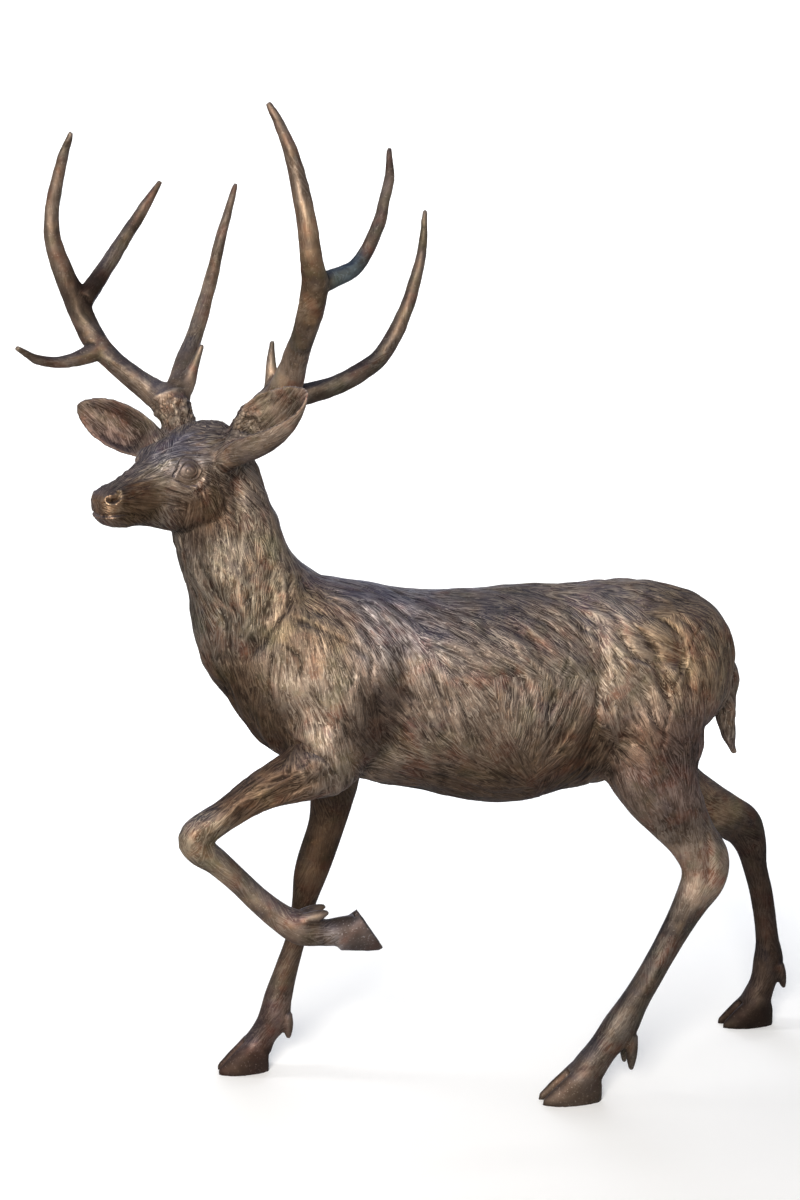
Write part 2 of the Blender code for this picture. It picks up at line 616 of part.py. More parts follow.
TRUNK_ONLY = dict(within=lambda v: np.clip((v[:, 2] - 0.56) / 0.05, 0, 1))
MUSCLES = [
    # path (x, z), width, depth
    ([(-0.33, 0.94), (-0.30, 0.86), (-0.27, 0.78)], 0.055, 0.010),
    ([(-0.25, 0.76), (-0.24, 0.70)], 0.045, 0.012),
    ([(-0.150, 0.90), (-0.145, 0.80), (-0.175, 0.70), (-0.200, 0.655)], 0.022, -0.010),
    ([(-0.372, 1.06), (-0.376, 0.97), (-0.392, 0.90), (-0.440, 0.86)], 0.016, -0.009),
    ([(-0.300, 0.80), (-0.345, 0.755), (-0.360, 0.71)], 0.018, -0.006),
    ([(0.185, 0.96), (0.215, 0.88), (0.222, 0.78), (0.210, 0.68), (0.235, 0.63)], 0.026, -0.011),
    ([(0.38, 0.86), (0.37, 0.76)], 0.070, 0.012),
    ([(0.310, 0.900), (0.335, 0.83), (0.350, 0.76)], 0.014, -0.006),
    ([(0.372, 0.890), (0.385, 0.82), (0.395, 0.77)], 0.013, -0.005),
    ([(-0.462, 1.05), (-0.435, 0.99), (-0.420, 0.93), (-0.43, 0.88)], 0.018, 0.006),
    ([(-0.02, 0.88), (0.03, 0.70)], 0.030, 0.003),
    ([(0.07, 0.88), (0.12, 0.70)], 0.030, 0.003),
]


def carve(skin_):
    """Muscles, face and leg carving."""
    for path, width, depth in MUSCLES:
        press(skin_, path, width, depth, **TRUNK_ONLY)
    # hocks: hollow between tendon and shin, on both sides of each hind leg
    for x, z, s in ((0.395, 0.545, -1), (0.585, 0.515, 1)):
        dx = 0.045
        press(skin_, [(x, z), (x + dx * 0.8, z - 0.055)], 0.010, -0.006)
    # forearm of the raised leg
    press(skin_, [(-0.36, 0.655), (-0.44, 0.618)], 0.007, -0.003, side=-1)
    # face
    for s in (-1, 1):
        eye = (EYE[0], s * EYE[1], EYE[2])
        dome(skin_, eye, 0.027, -0.0045)
        dome(skin_, eye, EYE_R, 0.0095)
        ring(skin_, eye, 0.0190, 0.0045, 0.0040)
        ring(skin_, eye, 0.0148, 0.0026, -0.0022)
        press(skin_, [(0.034, -0.008), (0.018, -0.004)], 0.006, -0.006, side=s, frame="head")
        blob(skin_, (0.128, 0.031 * s, -0.032), 0.0090, -0.012, frame="head")
        blob(skin_, (0.119, 0.033 * s, -0.027), 0.0065, -0.006, frame="head")
        press(skin_, [(0.160, -0.067), (0.120, -0.069), (0.085, -0.070), (0.064, -0.078)],
              0.0045, -0.0055, side=s, frame="head")
        press(skin_, [(0.040, -0.030), (0.000, -0.050), (-0.020, -0.075)], 0.010, -0.0035,
              side=s, frame="head")


def facet(v, f, budget, name):
    """Facet the skin to the triangle budget, with most facets left on the face."""
    ob = mesh_object(name, v, f)
    group = ob.vertex_groups.new(name="plain")
    h = (v - np.array(HEAD_AT)) @ HEAD
    reach = np.linalg.norm((h - np.array([0.03, 0.0, -0.03])) * np.array([1.0, 1.2, 1.2]), axis=1)
    fine = np.clip((0.16 - reach) / 0.03, 0.0, 1.0)
    fine = np.maximum(fine, 0.45 * np.clip((0.12 - v[:, 2]) / 0.03, 0.0, 1.0))
    levels = np.round(fine * 8) / 8
    for w in np.unique(levels):
        group.add(np.flatnonzero(levels == w).tolist(), 1.0 - 0.7 * float(w), "REPLACE")
    tri = ob.modifiers.new("triangles", "TRIANGULATE")
    tri.quad_method = "BEAUTY"
    total = sum(len(q) - 2 for q in f)
    dec = ob.modifiers.new("facets", "DECIMATE")
    dec.decimate_type = "COLLAPSE"
    dec.ratio = budget / total
    dec.vertex_group = "plain"
    dec.vertex_group_factor = FACE_SHARE
    v, f = evaluated(ob)
    bpy.data.objects.remove(ob)
    return v, f


def bronze():
    """Brown patinated bronze."""
    mat = bpy.data.materials.new("bronze")
    mat.use_nodes = True
    bsdf = mat.node_tree.nodes["Principled BSDF"]
    bsdf.inputs["Base Color"].default_value = (0.115, 0.075, 0.055, 1.0)
    bsdf.inputs["Metallic"].default_value = 1.0
    bsdf.inputs["Roughness"].default_value = 0.48
    return mat


def main():
    """Build the figure."""
    for ob in list(bpy.data.objects):
        bpy.data.objects.remove(ob, do_unlink=True)
    v, f = fuse(gather(), VOXEL)
    skin_ = Skin(v, f)
    skin_.fill(26, region(skin_.v))
    skin_.smooth(4, region(skin_.v))
    carve(skin_)
    skin_.smooth(1, region(skin_.v))
    v, f = facet(skin_.v, skin_.f, FACETS, "skin")
    # soles of the three standing hooves are dressed flat
    sole = v[:, 2] < 0.0045
    v[sole, 2] = 0.0
    v += np.array(SHIFT)
    deer = mesh_object("deer", v, f)
    bm = bmesh.new()
    bm.from_mesh(deer.data)
    bmesh.ops.remove_doubles(bm, verts=bm.verts, dist=0.00005)
    bmesh.ops.dissolve_degenerate(bm, edges=bm.edges, dist=0.00005)
    bmesh.ops.triangulate(bm, faces=bm.faces)
    bmesh.ops.recalc_face_normals(bm, faces=bm.faces)
    bm.to_mesh(deer.data)
    bm.free()
    deer.data.materials.append(bronze())


main()
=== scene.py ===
"""Bronze stag, dressed: one hollow lost-wax casting with a brown patina.

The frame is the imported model.  The casting is made as a founder's pattern is: closed
masses carried along named paths, run together into one skin, wax wiped into the joins,
muscles and face pressed in, then the coat combed into locks and strands.  Metres, +Z up,
the stag walks towards -X and its left side is -Y.
"""
import math

import bpy
import numpy as np
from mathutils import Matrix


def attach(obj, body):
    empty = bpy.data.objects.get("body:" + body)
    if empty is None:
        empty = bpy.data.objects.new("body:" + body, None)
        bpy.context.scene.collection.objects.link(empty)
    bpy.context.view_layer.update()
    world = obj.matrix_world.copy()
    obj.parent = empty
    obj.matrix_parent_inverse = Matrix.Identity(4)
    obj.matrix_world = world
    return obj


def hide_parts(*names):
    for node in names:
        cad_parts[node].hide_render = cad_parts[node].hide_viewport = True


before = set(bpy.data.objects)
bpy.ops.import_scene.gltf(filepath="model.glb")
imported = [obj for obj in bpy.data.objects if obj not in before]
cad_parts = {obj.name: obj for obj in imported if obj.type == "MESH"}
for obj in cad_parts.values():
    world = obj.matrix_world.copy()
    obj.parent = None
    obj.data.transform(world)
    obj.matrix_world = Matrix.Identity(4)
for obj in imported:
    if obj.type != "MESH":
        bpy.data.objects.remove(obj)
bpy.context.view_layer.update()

# ------------------------------------------------------------------ sizes
GRID = 0.0025           # grid on which the masses run together
FACETS = 199400         # triangles left on the casting
SHIFT = np.array([0.0225, 0.0267, 0.0])     # drawing frame to the frame of the model
SOLE = 0.0035           # height up to which a standing sole is dressed flat
RING = 32               # points round a limb
TRUNK_RING = 56         # points round the trunk and the skull
STEP = 0.006            # spacing of sections along a limb

# trunk: x, top, bottom, half width, egg (positive = wider below), squareness
TRUNK = [
    (-0.462, 0.900, 0.800, 0.050, 0.00, 2.25),
    (-0.434, 0.950, 0.757, 0.085, 0.00, 2.25),
    (-0.388, 0.988, 0.693, 0.118, 0.00, 2.25),
    (-0.306, 0.998, 0.644, 0.142, 0.02, 2.25),
    (-0.205, 0.988, 0.618, 0.152, 0.05, 2.25),
    (-0.104, 0.970, 0.596, 0.163, 0.10, 2.25),
    (-0.003, 0.969, 0.570, 0.172, 0.12, 2.25),
    (0.088, 0.972, 0.561, 0.176, 0.12, 2.25),
    (0.179, 0.975, 0.578, 0.168, 0.10, 2.25),
    (0.270, 0.977, 0.592, 0.156, 0.04, 2.25),
    (0.351, 0.980, 0.630, 0.148, 0.00, 2.25),
    (0.425, 0.965, 0.659, 0.138, -0.02, 2.25),
    (0.477, 0.946, 0.685, 0.118, -0.04, 2.25),
    (0.516, 0.907, 0.725, 0.088, -0.05, 2.25),
    (0.536, 0.862, 0.770, 0.050, -0.05, 2.25),
]

# neck: x, y, z, half depth, half width
NECK = [
    (-0.320, 0.000, 0.826, 0.125, 0.100),
    (-0.366, 0.000, 0.897, 0.138, 0.111),
    (-0.398, 0.000, 0.952, 0.122, 0.097),
    (-0.420, 0.000, 1.003, 0.102, 0.083),
    (-0.436, 0.004, 1.053, 0.098, 0.068),
    (-0.447, 0.011, 1.104, 0.096, 0.056),
    (-0.449, 0.018, 1.154, 0.079, 0.049),
    (-0.450, 0.025, 1.205, 0.062, 0.047),
    (-0.463, 0.026, 1.232, 0.045, 0.042),
]

# legs: x, y, z, half depth, half width
NEAR_HIND = [
    (0.411, -0.050, 0.897, 0.080, 0.060),
    (0.390, -0.076, 0.816, 0.118, 0.075),
    (0.352, -0.090, 0.725, 0.104, 0.079),
    (0.343, -0.104, 0.644, 0.096, 0.069),
    (0.357, -0.118, 0.590, 0.077, 0.056),
    (0.387, -0.125, 0.541, 0.061, 0.044),
    (0.420, -0.125, 0.493, 0.049, 0.035),
    (0.447, -0.125, 0.448, 0.049, 0.030),
    (0.445, -0.125, 0.412, 0.045, 0.029),
    (0.421, -0.125, 0.368, 0.034, 0.026),
    (0.387, -0.125, 0.310, 0.027, 0.022),
    (0.346, -0.125, 0.240, 0.025, 0.021),
    (0.309, -0.125, 0.181, 0.027, 0.023),
    (0.278, -0.125, 0.131, 0.034, 0.027),
    (0.246, -0.125, 0.093, 0.029, 0.025),
    (0.220, -0.125, 0.060, 0.032, 0.027),
    (0.204, -0.125, 0.038, 0.034, 0.028),
]
FAR_HIND = [
    (0.431, 0.050, 0.887, 0.080, 0.060),
    (0.415, 0.078, 0.796, 0.110, 0.073),
    (0.402, 0.090, 0.705, 0.094, 0.073),
    (0.420, 0.098, 0.620, 0.076, 0.062),
    (0.488, 0.104, 0.535, 0.062, 0.048),
    (0.560, 0.111, 0.490, 0.053, 0.038),
    (0.612, 0.117, 0.462, 0.047, 0.031),
    (0.652, 0.122, 0.436, 0.045, 0.028),
    (0.674, 0.125, 0.396, 0.035, 0.026),
    (0.686, 0.125, 0.345, 0.026, 0.023),
    (0.704, 0.125, 0.280, 0.0245, 0.020),
    (0.720, 0.125, 0.183, 0.025, 0.021),
    (0.724, 0.125, 0.130, 0.033, 0.026),
    (0.711, 0.123, 0.086, 0.028, 0.024),
    (0.697, 0.121, 0.054, 0.032, 0.026),
    (0.688, 0.120, 0.036, 0.034, 0.027),
]
FAR_FORE = [
    (-0.296, 0.070, 0.816, 0.075, 0.045),
    (-0.271, 0.084, 0.725, 0.082, 0.055),
    (-0.241, 0.095, 0.644, 0.069, 0.052),
    (-0.234, 0.102, 0.574, 0.048, 0.040),
    (-0.244, 0.110, 0.503, 0.037, 0.032),
    (-0.267, 0.119, 0.427, 0.035, 0.030),
    (-0.278, 0.125, 0.387, 0.032, 0.029),
    (-0.288, 0.131, 0.337, 0.024, 0.022),
    (-0.301, 0.138, 0.272, 0.020, 0.019),
    (-0.322, 0.140, 0.203, 0.023, 0.020),
    (-0.340, 0.140, 0.143, 0.028, 0.024),
    (-0.350, 0.140, 0.100, 0.031, 0.026),
    (-0.369, 0.140, 0.071, 0.027, 0.025),
    (-0.384, 0.140, 0.046, 0.031, 0.027),
]
NEAR_FORE = [
    (-0.296, -0.072, 0.816, 0.080, 0.045),
    (-0.271, -0.086, 0.735, 0.088, 0.058),
    (-0.286, -0.098, 0.674, 0.068, 0.054),
    (-0.345, -0.110, 0.648, 0.046, 0.042),
    (-0.404, -0.120, 0.626, 0.036, 0.034),
    (-0.449, -0.126, 0.600, 0.029, 0.029),
    (-0.492, -0.130, 0.577, 0.029, 0.028),
    (-0.521, -0.130, 0.553, 0.029, 0.028),
    (-0.510, -0.130, 0.532, 0.027, 0.026),
    (-0.483, -0.130, 0.510, 0.023, 0.022),
    (-0.444, -0.126, 0.471, 0.021, 0.020),
    (-0.406, -0.122, 0.430, 0.022, 0.020),
    (-0.367, -0.120, 0.395, 0.025, 0.023),
    (-0.331, -0.120, 0.374, 0.030, 0.026),
    (-0.291, -0.120, 0.363, 0.024, 0.023),
    (-0.256, -0.120, 0.363, 0.0265, 0.025),
    (-0.238, -0.120, 0.362, 0.0305, 0.027),
]
TAIL = [
    (0.510, 0.000, 0.850, 0.030, 0.030),
    (0.536, 0.000, 0.786, 0.028, 0.030),
    (0.545, 0.000, 0.730, 0.022, 0.027),
    (0.544, 0.000, 0.695, 0.017, 0.022),
    (0.552, 0.000, 0.659, 0.012, 0.015),
    (0.566, 0.000, 0.624, 0.004, 0.006),
]

# hooves: sole middle x, y, z; toe direction x, z; length, width
HOOVES = [
    (0.180, -0.125, 0.000, -1.0, 0.0, 0.117, 0.064),
    (0.669, 0.120, 0.000, -1.0, 0.0, 0.114, 0.062),
    (-0.412, 0.140, 0.000, -1.0, 0.0, 0.100, 0.060),
    (-0.206, -0.120, 0.363, 0.55, -0.83, 0.080, 0.056),
]
# dewclaws: root x, y, z; point direction x, z; length
DEWCLAWS = [
    (0.299, -0.125, 0.102, -0.05, -1.0, 0.048),
    (0.742, 0.120, 0.118, 0.20, -1.0, 0.040),
    (-0.324, 0.140, 0.100, 0.05, -1.0, 0.036),
    (-0.320, -0.120, 0.396, 0.85, 0.25, 0.036),
]

# head frame: origin between the eyes, x to the nose, y to its left, z up
HEAD_AT = (-0.556, -0.044, 1.2015)
HEAD_TURN = (36.0, 8.0, -8.0)       # turned left, nose down, tilted, in degrees
# skull: forward, top, bottom, half width, egg, squareness
SKULL = [
    (0.147, -0.038, -0.060, 0.014, 0.0, 2.6),
    (0.142, -0.029, -0.075, 0.024, 0.0, 2.8),
    (0.131, -0.022, -0.086, 0.030, 0.0, 2.9),
    (0.111, -0.016, -0.092, 0.033, 0.0, 2.8),
    (0.085, -0.006, -0.094, 0.035, 0.04, 2.5),
    (0.050, 0.009, -0.100, 0.041, 0.0, 2.4),
    (0.015, 0.026, -0.112, 0.052, -0.08, 2.4),
    (-0.020, 0.044, -0.124, 0.062, -0.10, 2.4),
    (-0.060, 0.060, -0.130, 0.068, -0.10, 2.3),
    (-0.100, 0.066, -0.112, 0.073, -0.08, 2.3),
    (-0.130, 0.060, -0.075, 0.066, -0.05, 2.2),
    (-0.152, 0.030, -0.040, 0.048, 0.0, 2.1),
]
EYE = (-0.0105, 0.062, -0.0047)     # forward, out, up
EYE_HALF = (0.0172, 0.0130)         # half length and half height of the eyeball
# cheeks and brows: forward, out, up, then half sizes the same way
PADS = [
    (-0.060, 0.046, -0.066, 0.050, 0.028, 0.046),
    (-0.014, 0.033, 0.011, 0.050, 0.025, 0.022),
    (0.116, 0.017, -0.040, 0.020, 0.018, 0.019),
]
# ears: base, tip, hollow faces, width, degrees the lower rim is curled over
EAR_NEAR = ((-0.088, 0.074, 0.010), (-0.126, 0.228, 0.140), (0.78, 0.20, 0.50), 0.043, 50.0, 1.0)
EAR_FAR = ((-0.062, -0.066, 0.008), (0.010, -0.228, 0.080), (0.80, 0.45, 0.30), 0.043, 0.0, 0.0)

EAR_WALL = 0.0105       # thickness of the ear leaf
EAR_AT = (0.00, 0.12, 0.25, 0.40, 0.55, 0.70, 0.82, 0.91, 0.97, 1.00)
EAR_CURL = (1.70, 1.90, 1.75, 1.45, 1.20, 0.95, 0.70, 0.50, 0.25, 0.00)
EAR_FLARE = (0.00, 0.10, 0.34, 0.42, 0.38, 0.25, 0.16, 0.12, 0.06, 0.00)
EAR_PUSH = (0.000, 0.006, 0.014, 0.017, 0.013, 0.007, 0.003, 0.000, 0.000, 0.000)
EAR_WIDE = (0.55, 0.66, 0.84, 0.97, 1.00, 0.92, 0.75, 0.52, 0.30, 0.10)

# antlers in the head frame: forward, out (+ left), up, radius
ANTLERS = [
    # left antler: foot, main beam and brow-side point
    [(-0.125, 0.062, 0.030, 0.032), (-0.136, 0.078, 0.062, 0.028),
     (-0.152, 0.101, 0.090, 0.030), (-0.163, 0.130, 0.120, 0.029),
     (-0.150, 0.174, 0.182, 0.021), (-0.122, 0.224, 0.236, 0.0185),
     (-0.103, 0.260, 0.280, 0.0200), (-0.095, 0.276, 0.318, 0.020),
     (-0.075, 0.287, 0.362, 0.0165), (-0.062, 0.286, 0.436, 0.014),
     (-0.058, 0.262, 0.518, 0.010), (-0.056, 0.242, 0.557, 0.007),
     (-0.046, 0.225, 0.592, 0.003)],
    # left upper fork
    [(-0.090, 0.268, 0.312, 0.018), (-0.126, 0.280, 0.326, 0.014),
     (-0.172, 0.295, 0.347, 0.0115), (-0.226, 0.294, 0.409, 0.0095),
     (-0.253, 0.285, 0.452, 0.008), (-0.278, 0.273, 0.492, 0.006),
     (-0.291, 0.260, 0.532, 0.0025)],
    # left rear point
    [(-0.152, 0.106, 0.106, 0.024), (-0.198, 0.138, 0.116, 0.018),
     (-0.244, 0.168, 0.129, 0.016), (-0.286, 0.190, 0.148, 0.015),
     (-0.332, 0.208, 0.178, 0.0145), (-0.372, 0.231, 0.255, 0.0115),
     (-0.393, 0.236, 0.312, 0.0098), (-0.416, 0.232, 0.363, 0.0076),
     (-0.434, 0.222, 0.431, 0.0027)],
    # left small spike
    [(-0.158, 0.108, 0.105, 0.018), (-0.164, 0.104, 0.143, 0.0114),
     (-0.168, 0.098, 0.173, 0.007), (-0.179, 0.090, 0.208, 0.0026)],
    # right antler: foot and main beam
    [(-0.100, -0.069, 0.020, 0.034), (-0.105, -0.086, 0.060, 0.029),
     (-0.102, -0.107, 0.086, 0.030), (-0.094, -0.136, 0.102, 0.024),
     (-0.066, -0.199, 0.148, 0.0185), (-0.052, -0.241, 0.185, 0.0205),
     (-0.047, -0.269, 0.224, 0.0205), (-0.044, -0.289, 0.264, 0.0205),
     (-0.033, -0.299, 0.302, 0.018), (-0.015, -0.306, 0.366, 0.014),
     (-0.014, -0.302, 0.421, 0.0115), (-0.018, -0.286, 0.475, 0.0095),
     (-0.021, -0.270, 0.515, 0.007), (-0.024, -0.247, 0.553, 0.003)],
    # right upper fork
    [(-0.052, -0.276, 0.262, 0.017), (-0.094, -0.290, 0.293, 0.0145),
     (-0.140, -0.298, 0.335, 0.0125), (-0.182, -0.300, 0.380, 0.011),
     (-0.217, -0.296, 0.422, 0.009), (-0.253, -0.285, 0.473, 0.003)],
    # right front point
    [(-0.060, -0.228, 0.178, 0.018), (-0.031, -0.235, 0.169, 0.015),
     (-0.001, -0.240, 0.161, 0.0114), (0.038, -0.245, 0.158, 0.0085),
     (0.076, -0.245, 0.166, 0.007), (0.122, -0.240, 0.191, 0.003)],
    # right rear point
    [(-0.106, -0.100, 0.088, 0.025), (-0.140, -0.121, 0.113, 0.018),
     (-0.179, -0.147, 0.147, 0.0165), (-0.228, -0.172, 0.193, 0.0145),
     (-0.278, -0.195, 0.254, 0.0126), (-0.321, -0.213, 0.320, 0.0107),
     (-0.355, -0.224, 0.387, 0.0083), (-0.396, -0.229, 0.470, 0.003)],
    # right small spike
    [(-0.112, -0.102, 0.088, 0.022), (-0.146, -0.105, 0.114, 0.0148),
     (-0.161, -0.102, 0.144, 0.0088), (-0.179, -0.095, 0.186, 0.003)],
]


# ------------------------------------------------------------------ surfaces along a path
def spline(rows, step):
    """Cubic Hermite curve through the rows, with slopes from the neighbours, read every step metres."""
    p = np.asarray(rows, float)
    gap = np.linalg.norm(np.diff(p[:, :3], axis=0), axis=1)
    t = np.concatenate([[0.0], np.cumsum(gap)])
    m = np.empty_like(p)
    m[1:-1] = (p[2:] - p[:-2]) / (t[2:] - t[:-2])[:, None]
    m[0] = (p[1] - p[0]) / (t[1] - t[0])
    m[-1] = (p[-1] - p[-2]) / (t[-1] - t[-2])
    s = np.linspace(0.0, t[-1], max(4, int(t[-1] / step)))
    k = np.clip(np.searchsorted(t, s, side="right") - 1, 0, len(t) - 2)
    h = (t[k + 1] - t[k])[:, None]
    u = (s - t[k])[:, None] / h
    return ((2 * u**3 - 3 * u**2 + 1) * p[k] + (u**3 - 2 * u**2 + u) * h * m[k]
            + (3 * u**2 - 2 * u**3) * p[k + 1] + (u**3 - u**2) * h * m[k + 1])


def skin(rings):
    """Closed tube over sections of shape (m, n, 3): quads between them, one cap at each end."""
    m, n, _ = rings.shape
    i = np.arange(m - 1)[:, None] * n
    j = np.arange(n)[None, :]
    k = (j + 1) % n
    quads = np.stack([i + j, i + k, i + n + k, i + n + j], -1).reshape(-1, 4)
    caps = [tuple(range(n - 1, -1, -1)), tuple(range((m - 1) * n, m * n))]
    return rings.reshape(-1, 3), [tuple(q) for q in quads.tolist()] + caps


def tube(rows, side=(0.0, 1.0, 0.0), step=STEP, ring=RING):
    """Ellipse carried along a path: centre + depth cos a across the side axis + width sin a along it."""
    r = spline(rows, step)
    c = r[:, :3]
    t = np.gradient(c, axis=0)
    t /= np.linalg.norm(t, axis=1)[:, None]
    s = np.tile(np.asarray(side, float), (len(c), 1))
    s -= (s * t).sum(1)[:, None] * t
    s /= np.linalg.norm(s, axis=1)[:, None]
    f = np.cross(t, s)
    a = np.linspace(0.0, 2 * math.pi, ring, endpoint=False)
    return skin(c[:, None] + f[:, None] * (r[:, 3][:, None] * np.cos(a))[..., None]
                + s[:, None] * (r[:, -1][:, None] * np.sin(a))[..., None])


def barrel(rows, step=STEP):
    """Upright superellipse sections along x, wider below by the egg value."""
    p = np.asarray(rows, float)
    r = spline(np.column_stack([p[:, 0], 0 * p[:, 0], 0 * p[:, 0], p[:, 1:]]), step)
    a = np.linspace(0.0, 2 * math.pi, TRUNK_RING, endpoint=False)
    power = 2 / r[:, 7:8]
    up = np.sign(np.cos(a)) * np.abs(np.cos(a)) ** power
    out = np.sign(np.sin(a)) * np.abs(np.sin(a)) ** power
    z = ((r[:, 3] + r[:, 4]) / 2)[:, None] + ((r[:, 3] - r[:, 4]) / 2)[:, None] * up
    y = r[:, 5][:, None] * out * (1 - r[:, 6][:, None] * up)
    return skin(np.stack([np.repeat(r[:, 0][:, None], TRUNK_RING, 1), y, z], -1))


def head_matrix():
    """Columns forward, left and up of the turned head."""
    yaw, pitch, roll = [math.radians(v) for v in HEAD_TURN]
    f = np.array([-math.cos(yaw) * math.cos(pitch), -math.sin(yaw) * math.cos(pitch),
                  -math.sin(pitch)])
    s = np.cross([0.0, 0.0, 1.0], f)
    s /= np.linalg.norm(s)
    u = np.cross(f, s)
    left = s * math.cos(roll) + u * math.sin(roll)
    up = -s * math.sin(roll) + u * math.cos(roll)
    return np.stack([f, left, up], 1)


HEAD = head_matrix()


def to_body(v):
    """Head-frame points in the drawing frame."""
    return np.asarray(v, float) @ HEAD.T + np.array(HEAD_AT)


def to_head(v):
    """Drawing-frame points in the head frame."""
    return (v - np.array(HEAD_AT)) @ HEAD


def claw(x, y, z, dx, dz, length, half_width, side):
    """One half of a cloven hoof: flat sole, wall leaning back as it rises, pointed toe."""
    f = np.array([dx, 0.0, dz]) / math.hypot(dx, dz)
    u = np.array([f[2], 0.0, -f[0]])
    levels = np.array([(0.000, 0.00, 1.00, 0.98), (0.010, -0.01, 0.99, 1.00),
                       (0.030, -0.10, 0.80, 1.00), (0.048, -0.18, 0.58, 0.92),
                       (0.064, -0.24, 0.38, 0.70)])
    h = np.linspace(0.0, 0.064, 18)
    back, long, wide = [np.interp(h, levels[:, 0], levels[:, k])[:, None] for k in (1, 2, 3)]
    a = np.linspace(0.0, 2 * math.pi, 32, endpoint=False)
    ca = np.cos(a)
    toe = np.clip(ca, 0, 1)
    px = back * length + long * length / 2 * np.sign(ca) * np.abs(ca) ** 0.85
    py = side * half_width * (0.50 - 0.13 * toe**2) \
        + wide * half_width * 0.51 * np.sin(a) * (1 - 0.36 * toe**1.5)
    at = np.array([x, y, z]) + px[..., None] * f + h[:, None, None] * u
    at[..., 1] += py
    return skin(at)


def dewclaw(x, y, z, dx, dz, length):
    """A pair of small horn points behind the fetlock."""
    d = np.array([dx, 0.0, dz]) / math.hypot(dx, dz)
    shape = np.array([(-0.35, 0.011), (0.2, 0.0115), (0.65, 0.0085), (1.0, 0.0035)])
    out = []
    for side in (-1, 1):
        at = np.array([x, y, z]) + shape[:, :1] * length * d
        at[:, 1] += side * (0.014 + 0.004 * shape[:, 0])
        out.append(tube(np.column_stack([at, shape[:, 1]]), step=0.003, ring=18))
    return out


def ear(base, tip, face, width, curl, flare):
    """Leaf-shaped cup along base to tip: outer arc behind, inner arc in front, a thin wall between;
    the arc runs on past the lower rim by the curl, in degrees, and the flare carries the upper
    rim out and forward."""
    b = np.array(base)
    ax = np.array(tip) - b
    length = np.linalg.norm(ax)
    ax /= length
    fc = np.array(face) - np.dot(face, ax) * ax
    fc /= np.linalg.norm(fc)
    sd = np.cross(ax, fc)
    s = np.linspace(-0.10, 1.0, 60)[:, None]
    q = np.clip(s, 0.0, None)
    w = width * np.interp(q, EAR_AT, EAR_WIDE)
    d = w * (0.95 - 0.45 * q)
    opening = np.clip((q - 0.10) / 0.22, 0.0, 1.0)
    turned = math.radians(curl) * np.interp(q, EAR_AT, EAR_CURL)
    t = np.linspace(0.0, 1.0, 31)[None, :]
    th = -np.maximum(turned, 0.0) + (math.pi + np.abs(turned)) * t
    inner = (1 - opening) * 0.75 * d - opening * np.clip(0.55 * d, 0.1 * d, np.maximum(d - EAR_WALL, 0.1 * d))
    wall = 0.55 * EAR_WALL * opening
    px = np.hstack([w * np.cos(th), ((w - wall) * np.cos(th[:, ::-1]))[:, 1:-1]])
    pz = np.hstack([-d * np.sin(th), (inner * np.sin(th[:, ::-1]))[:, 1:-1]])
    c = b + ax * length * s - fc * 0.012 * np.sin(math.pi * q)
    high = flare * np.clip(-px / w, 0.0, 1.0) ** 2
    px = px * (1 + high * np.interp(q, EAR_AT, EAR_FLARE))
    pz = pz + high * np.interp(q, EAR_AT, EAR_PUSH)
    return skin(c[:, None] + sd * px[..., None] + fc * (pz + 0.35 * d)[..., None])


def ball(centre, radius):
    """Egg with three half sizes."""
    a = np.linspace(0.08, math.pi - 0.08, 20)[:, None]
    b = np.linspace(0.0, 2 * math.pi, 28, endpoint=False)[None, :]
    x = np.cos(a) + 0 * b
    return skin(np.array(centre) + np.array(radius) * np.stack(
        [x, np.sin(a) * np.cos(b), np.sin(a) * np.sin(b)], -1))


def horn_radius(r):
    """Radius of the horn as cast: the pattern's, a little fuller."""
    return r * 1.03 + 0.0012


def masses():
    """All the closed masses of the figure, in the drawing frame."""
    out = [barrel(TRUNK), tube(NECK), tube(TAIL)]
    out += [tube(rows) for rows in (NEAR_HIND, FAR_HIND, FAR_FORE, NEAR_FORE)]
    for x, y, z, dx, dz, length, width in HOOVES:
        out += [claw(x, y, z, dx, dz, length, width / 2, side) for side in (-1, 1)]
    for row in DEWCLAWS:
        out += dewclaw(*row)
    on_head = [barrel(SKULL, step=0.004), ear(*EAR_NEAR), ear(*EAR_FAR)]
    on_head += [ball((r[0], side * r[1], r[2]), r[3:]) for r in PADS for side in (-1, 1)]
    on_head += [tube([(x, y, z, horn_radius(r)) for x, y, z, r in rows],
                     side=(0.3, 0.2, 0.9), step=0.005, ring=24) for rows in ANTLERS]
    return out + [(to_body(v), f) for v, f in on_head]


# ------------------------------------------------------------------ meshes in and out
def mesh_object(name, v, f):
    """Plain mesh object from points and faces."""
    me = bpy.data.meshes.new(name)
    me.from_pydata(np.asarray(v).tolist(), [], f if isinstance(f, list) else f.tolist())
    me.update()
    ob = bpy.data.objects.new(name, me)
    bpy.context.scene.collection.objects.link(ob)
    return ob


def finished(ob, corners):
    """Points and faces of the object after its modifiers, all faces with that many corners."""
    done = ob.evaluated_get(bpy.context.evaluated_depsgraph_get())
    me = done.to_mesh()
    v = np.empty(len(me.vertices) * 3)
    me.vertices.foreach_get("co", v)
    f = np.empty(len(me.loops), np.int32)
    me.loops.foreach_get("vertex_index", f)
    done.to_mesh_clear()
    bpy.data.objects.remove(ob)
    return v.reshape(-1, 3), f.reshape(-1, corners).astype(np.int64)


def volume(v, f):
    """Signed volume of a closed shell of triangles, quads and caps."""
    total = 0.0
    for n in {len(q) for q in f}:
        p = v[np.array([q for q in f if len(q) == n])]
        for k in range(1, n - 1):
            total += np.einsum("ij,ij->", p[:, 0], np.cross(p[:, k], p[:, k + 1])) / 6
    return total


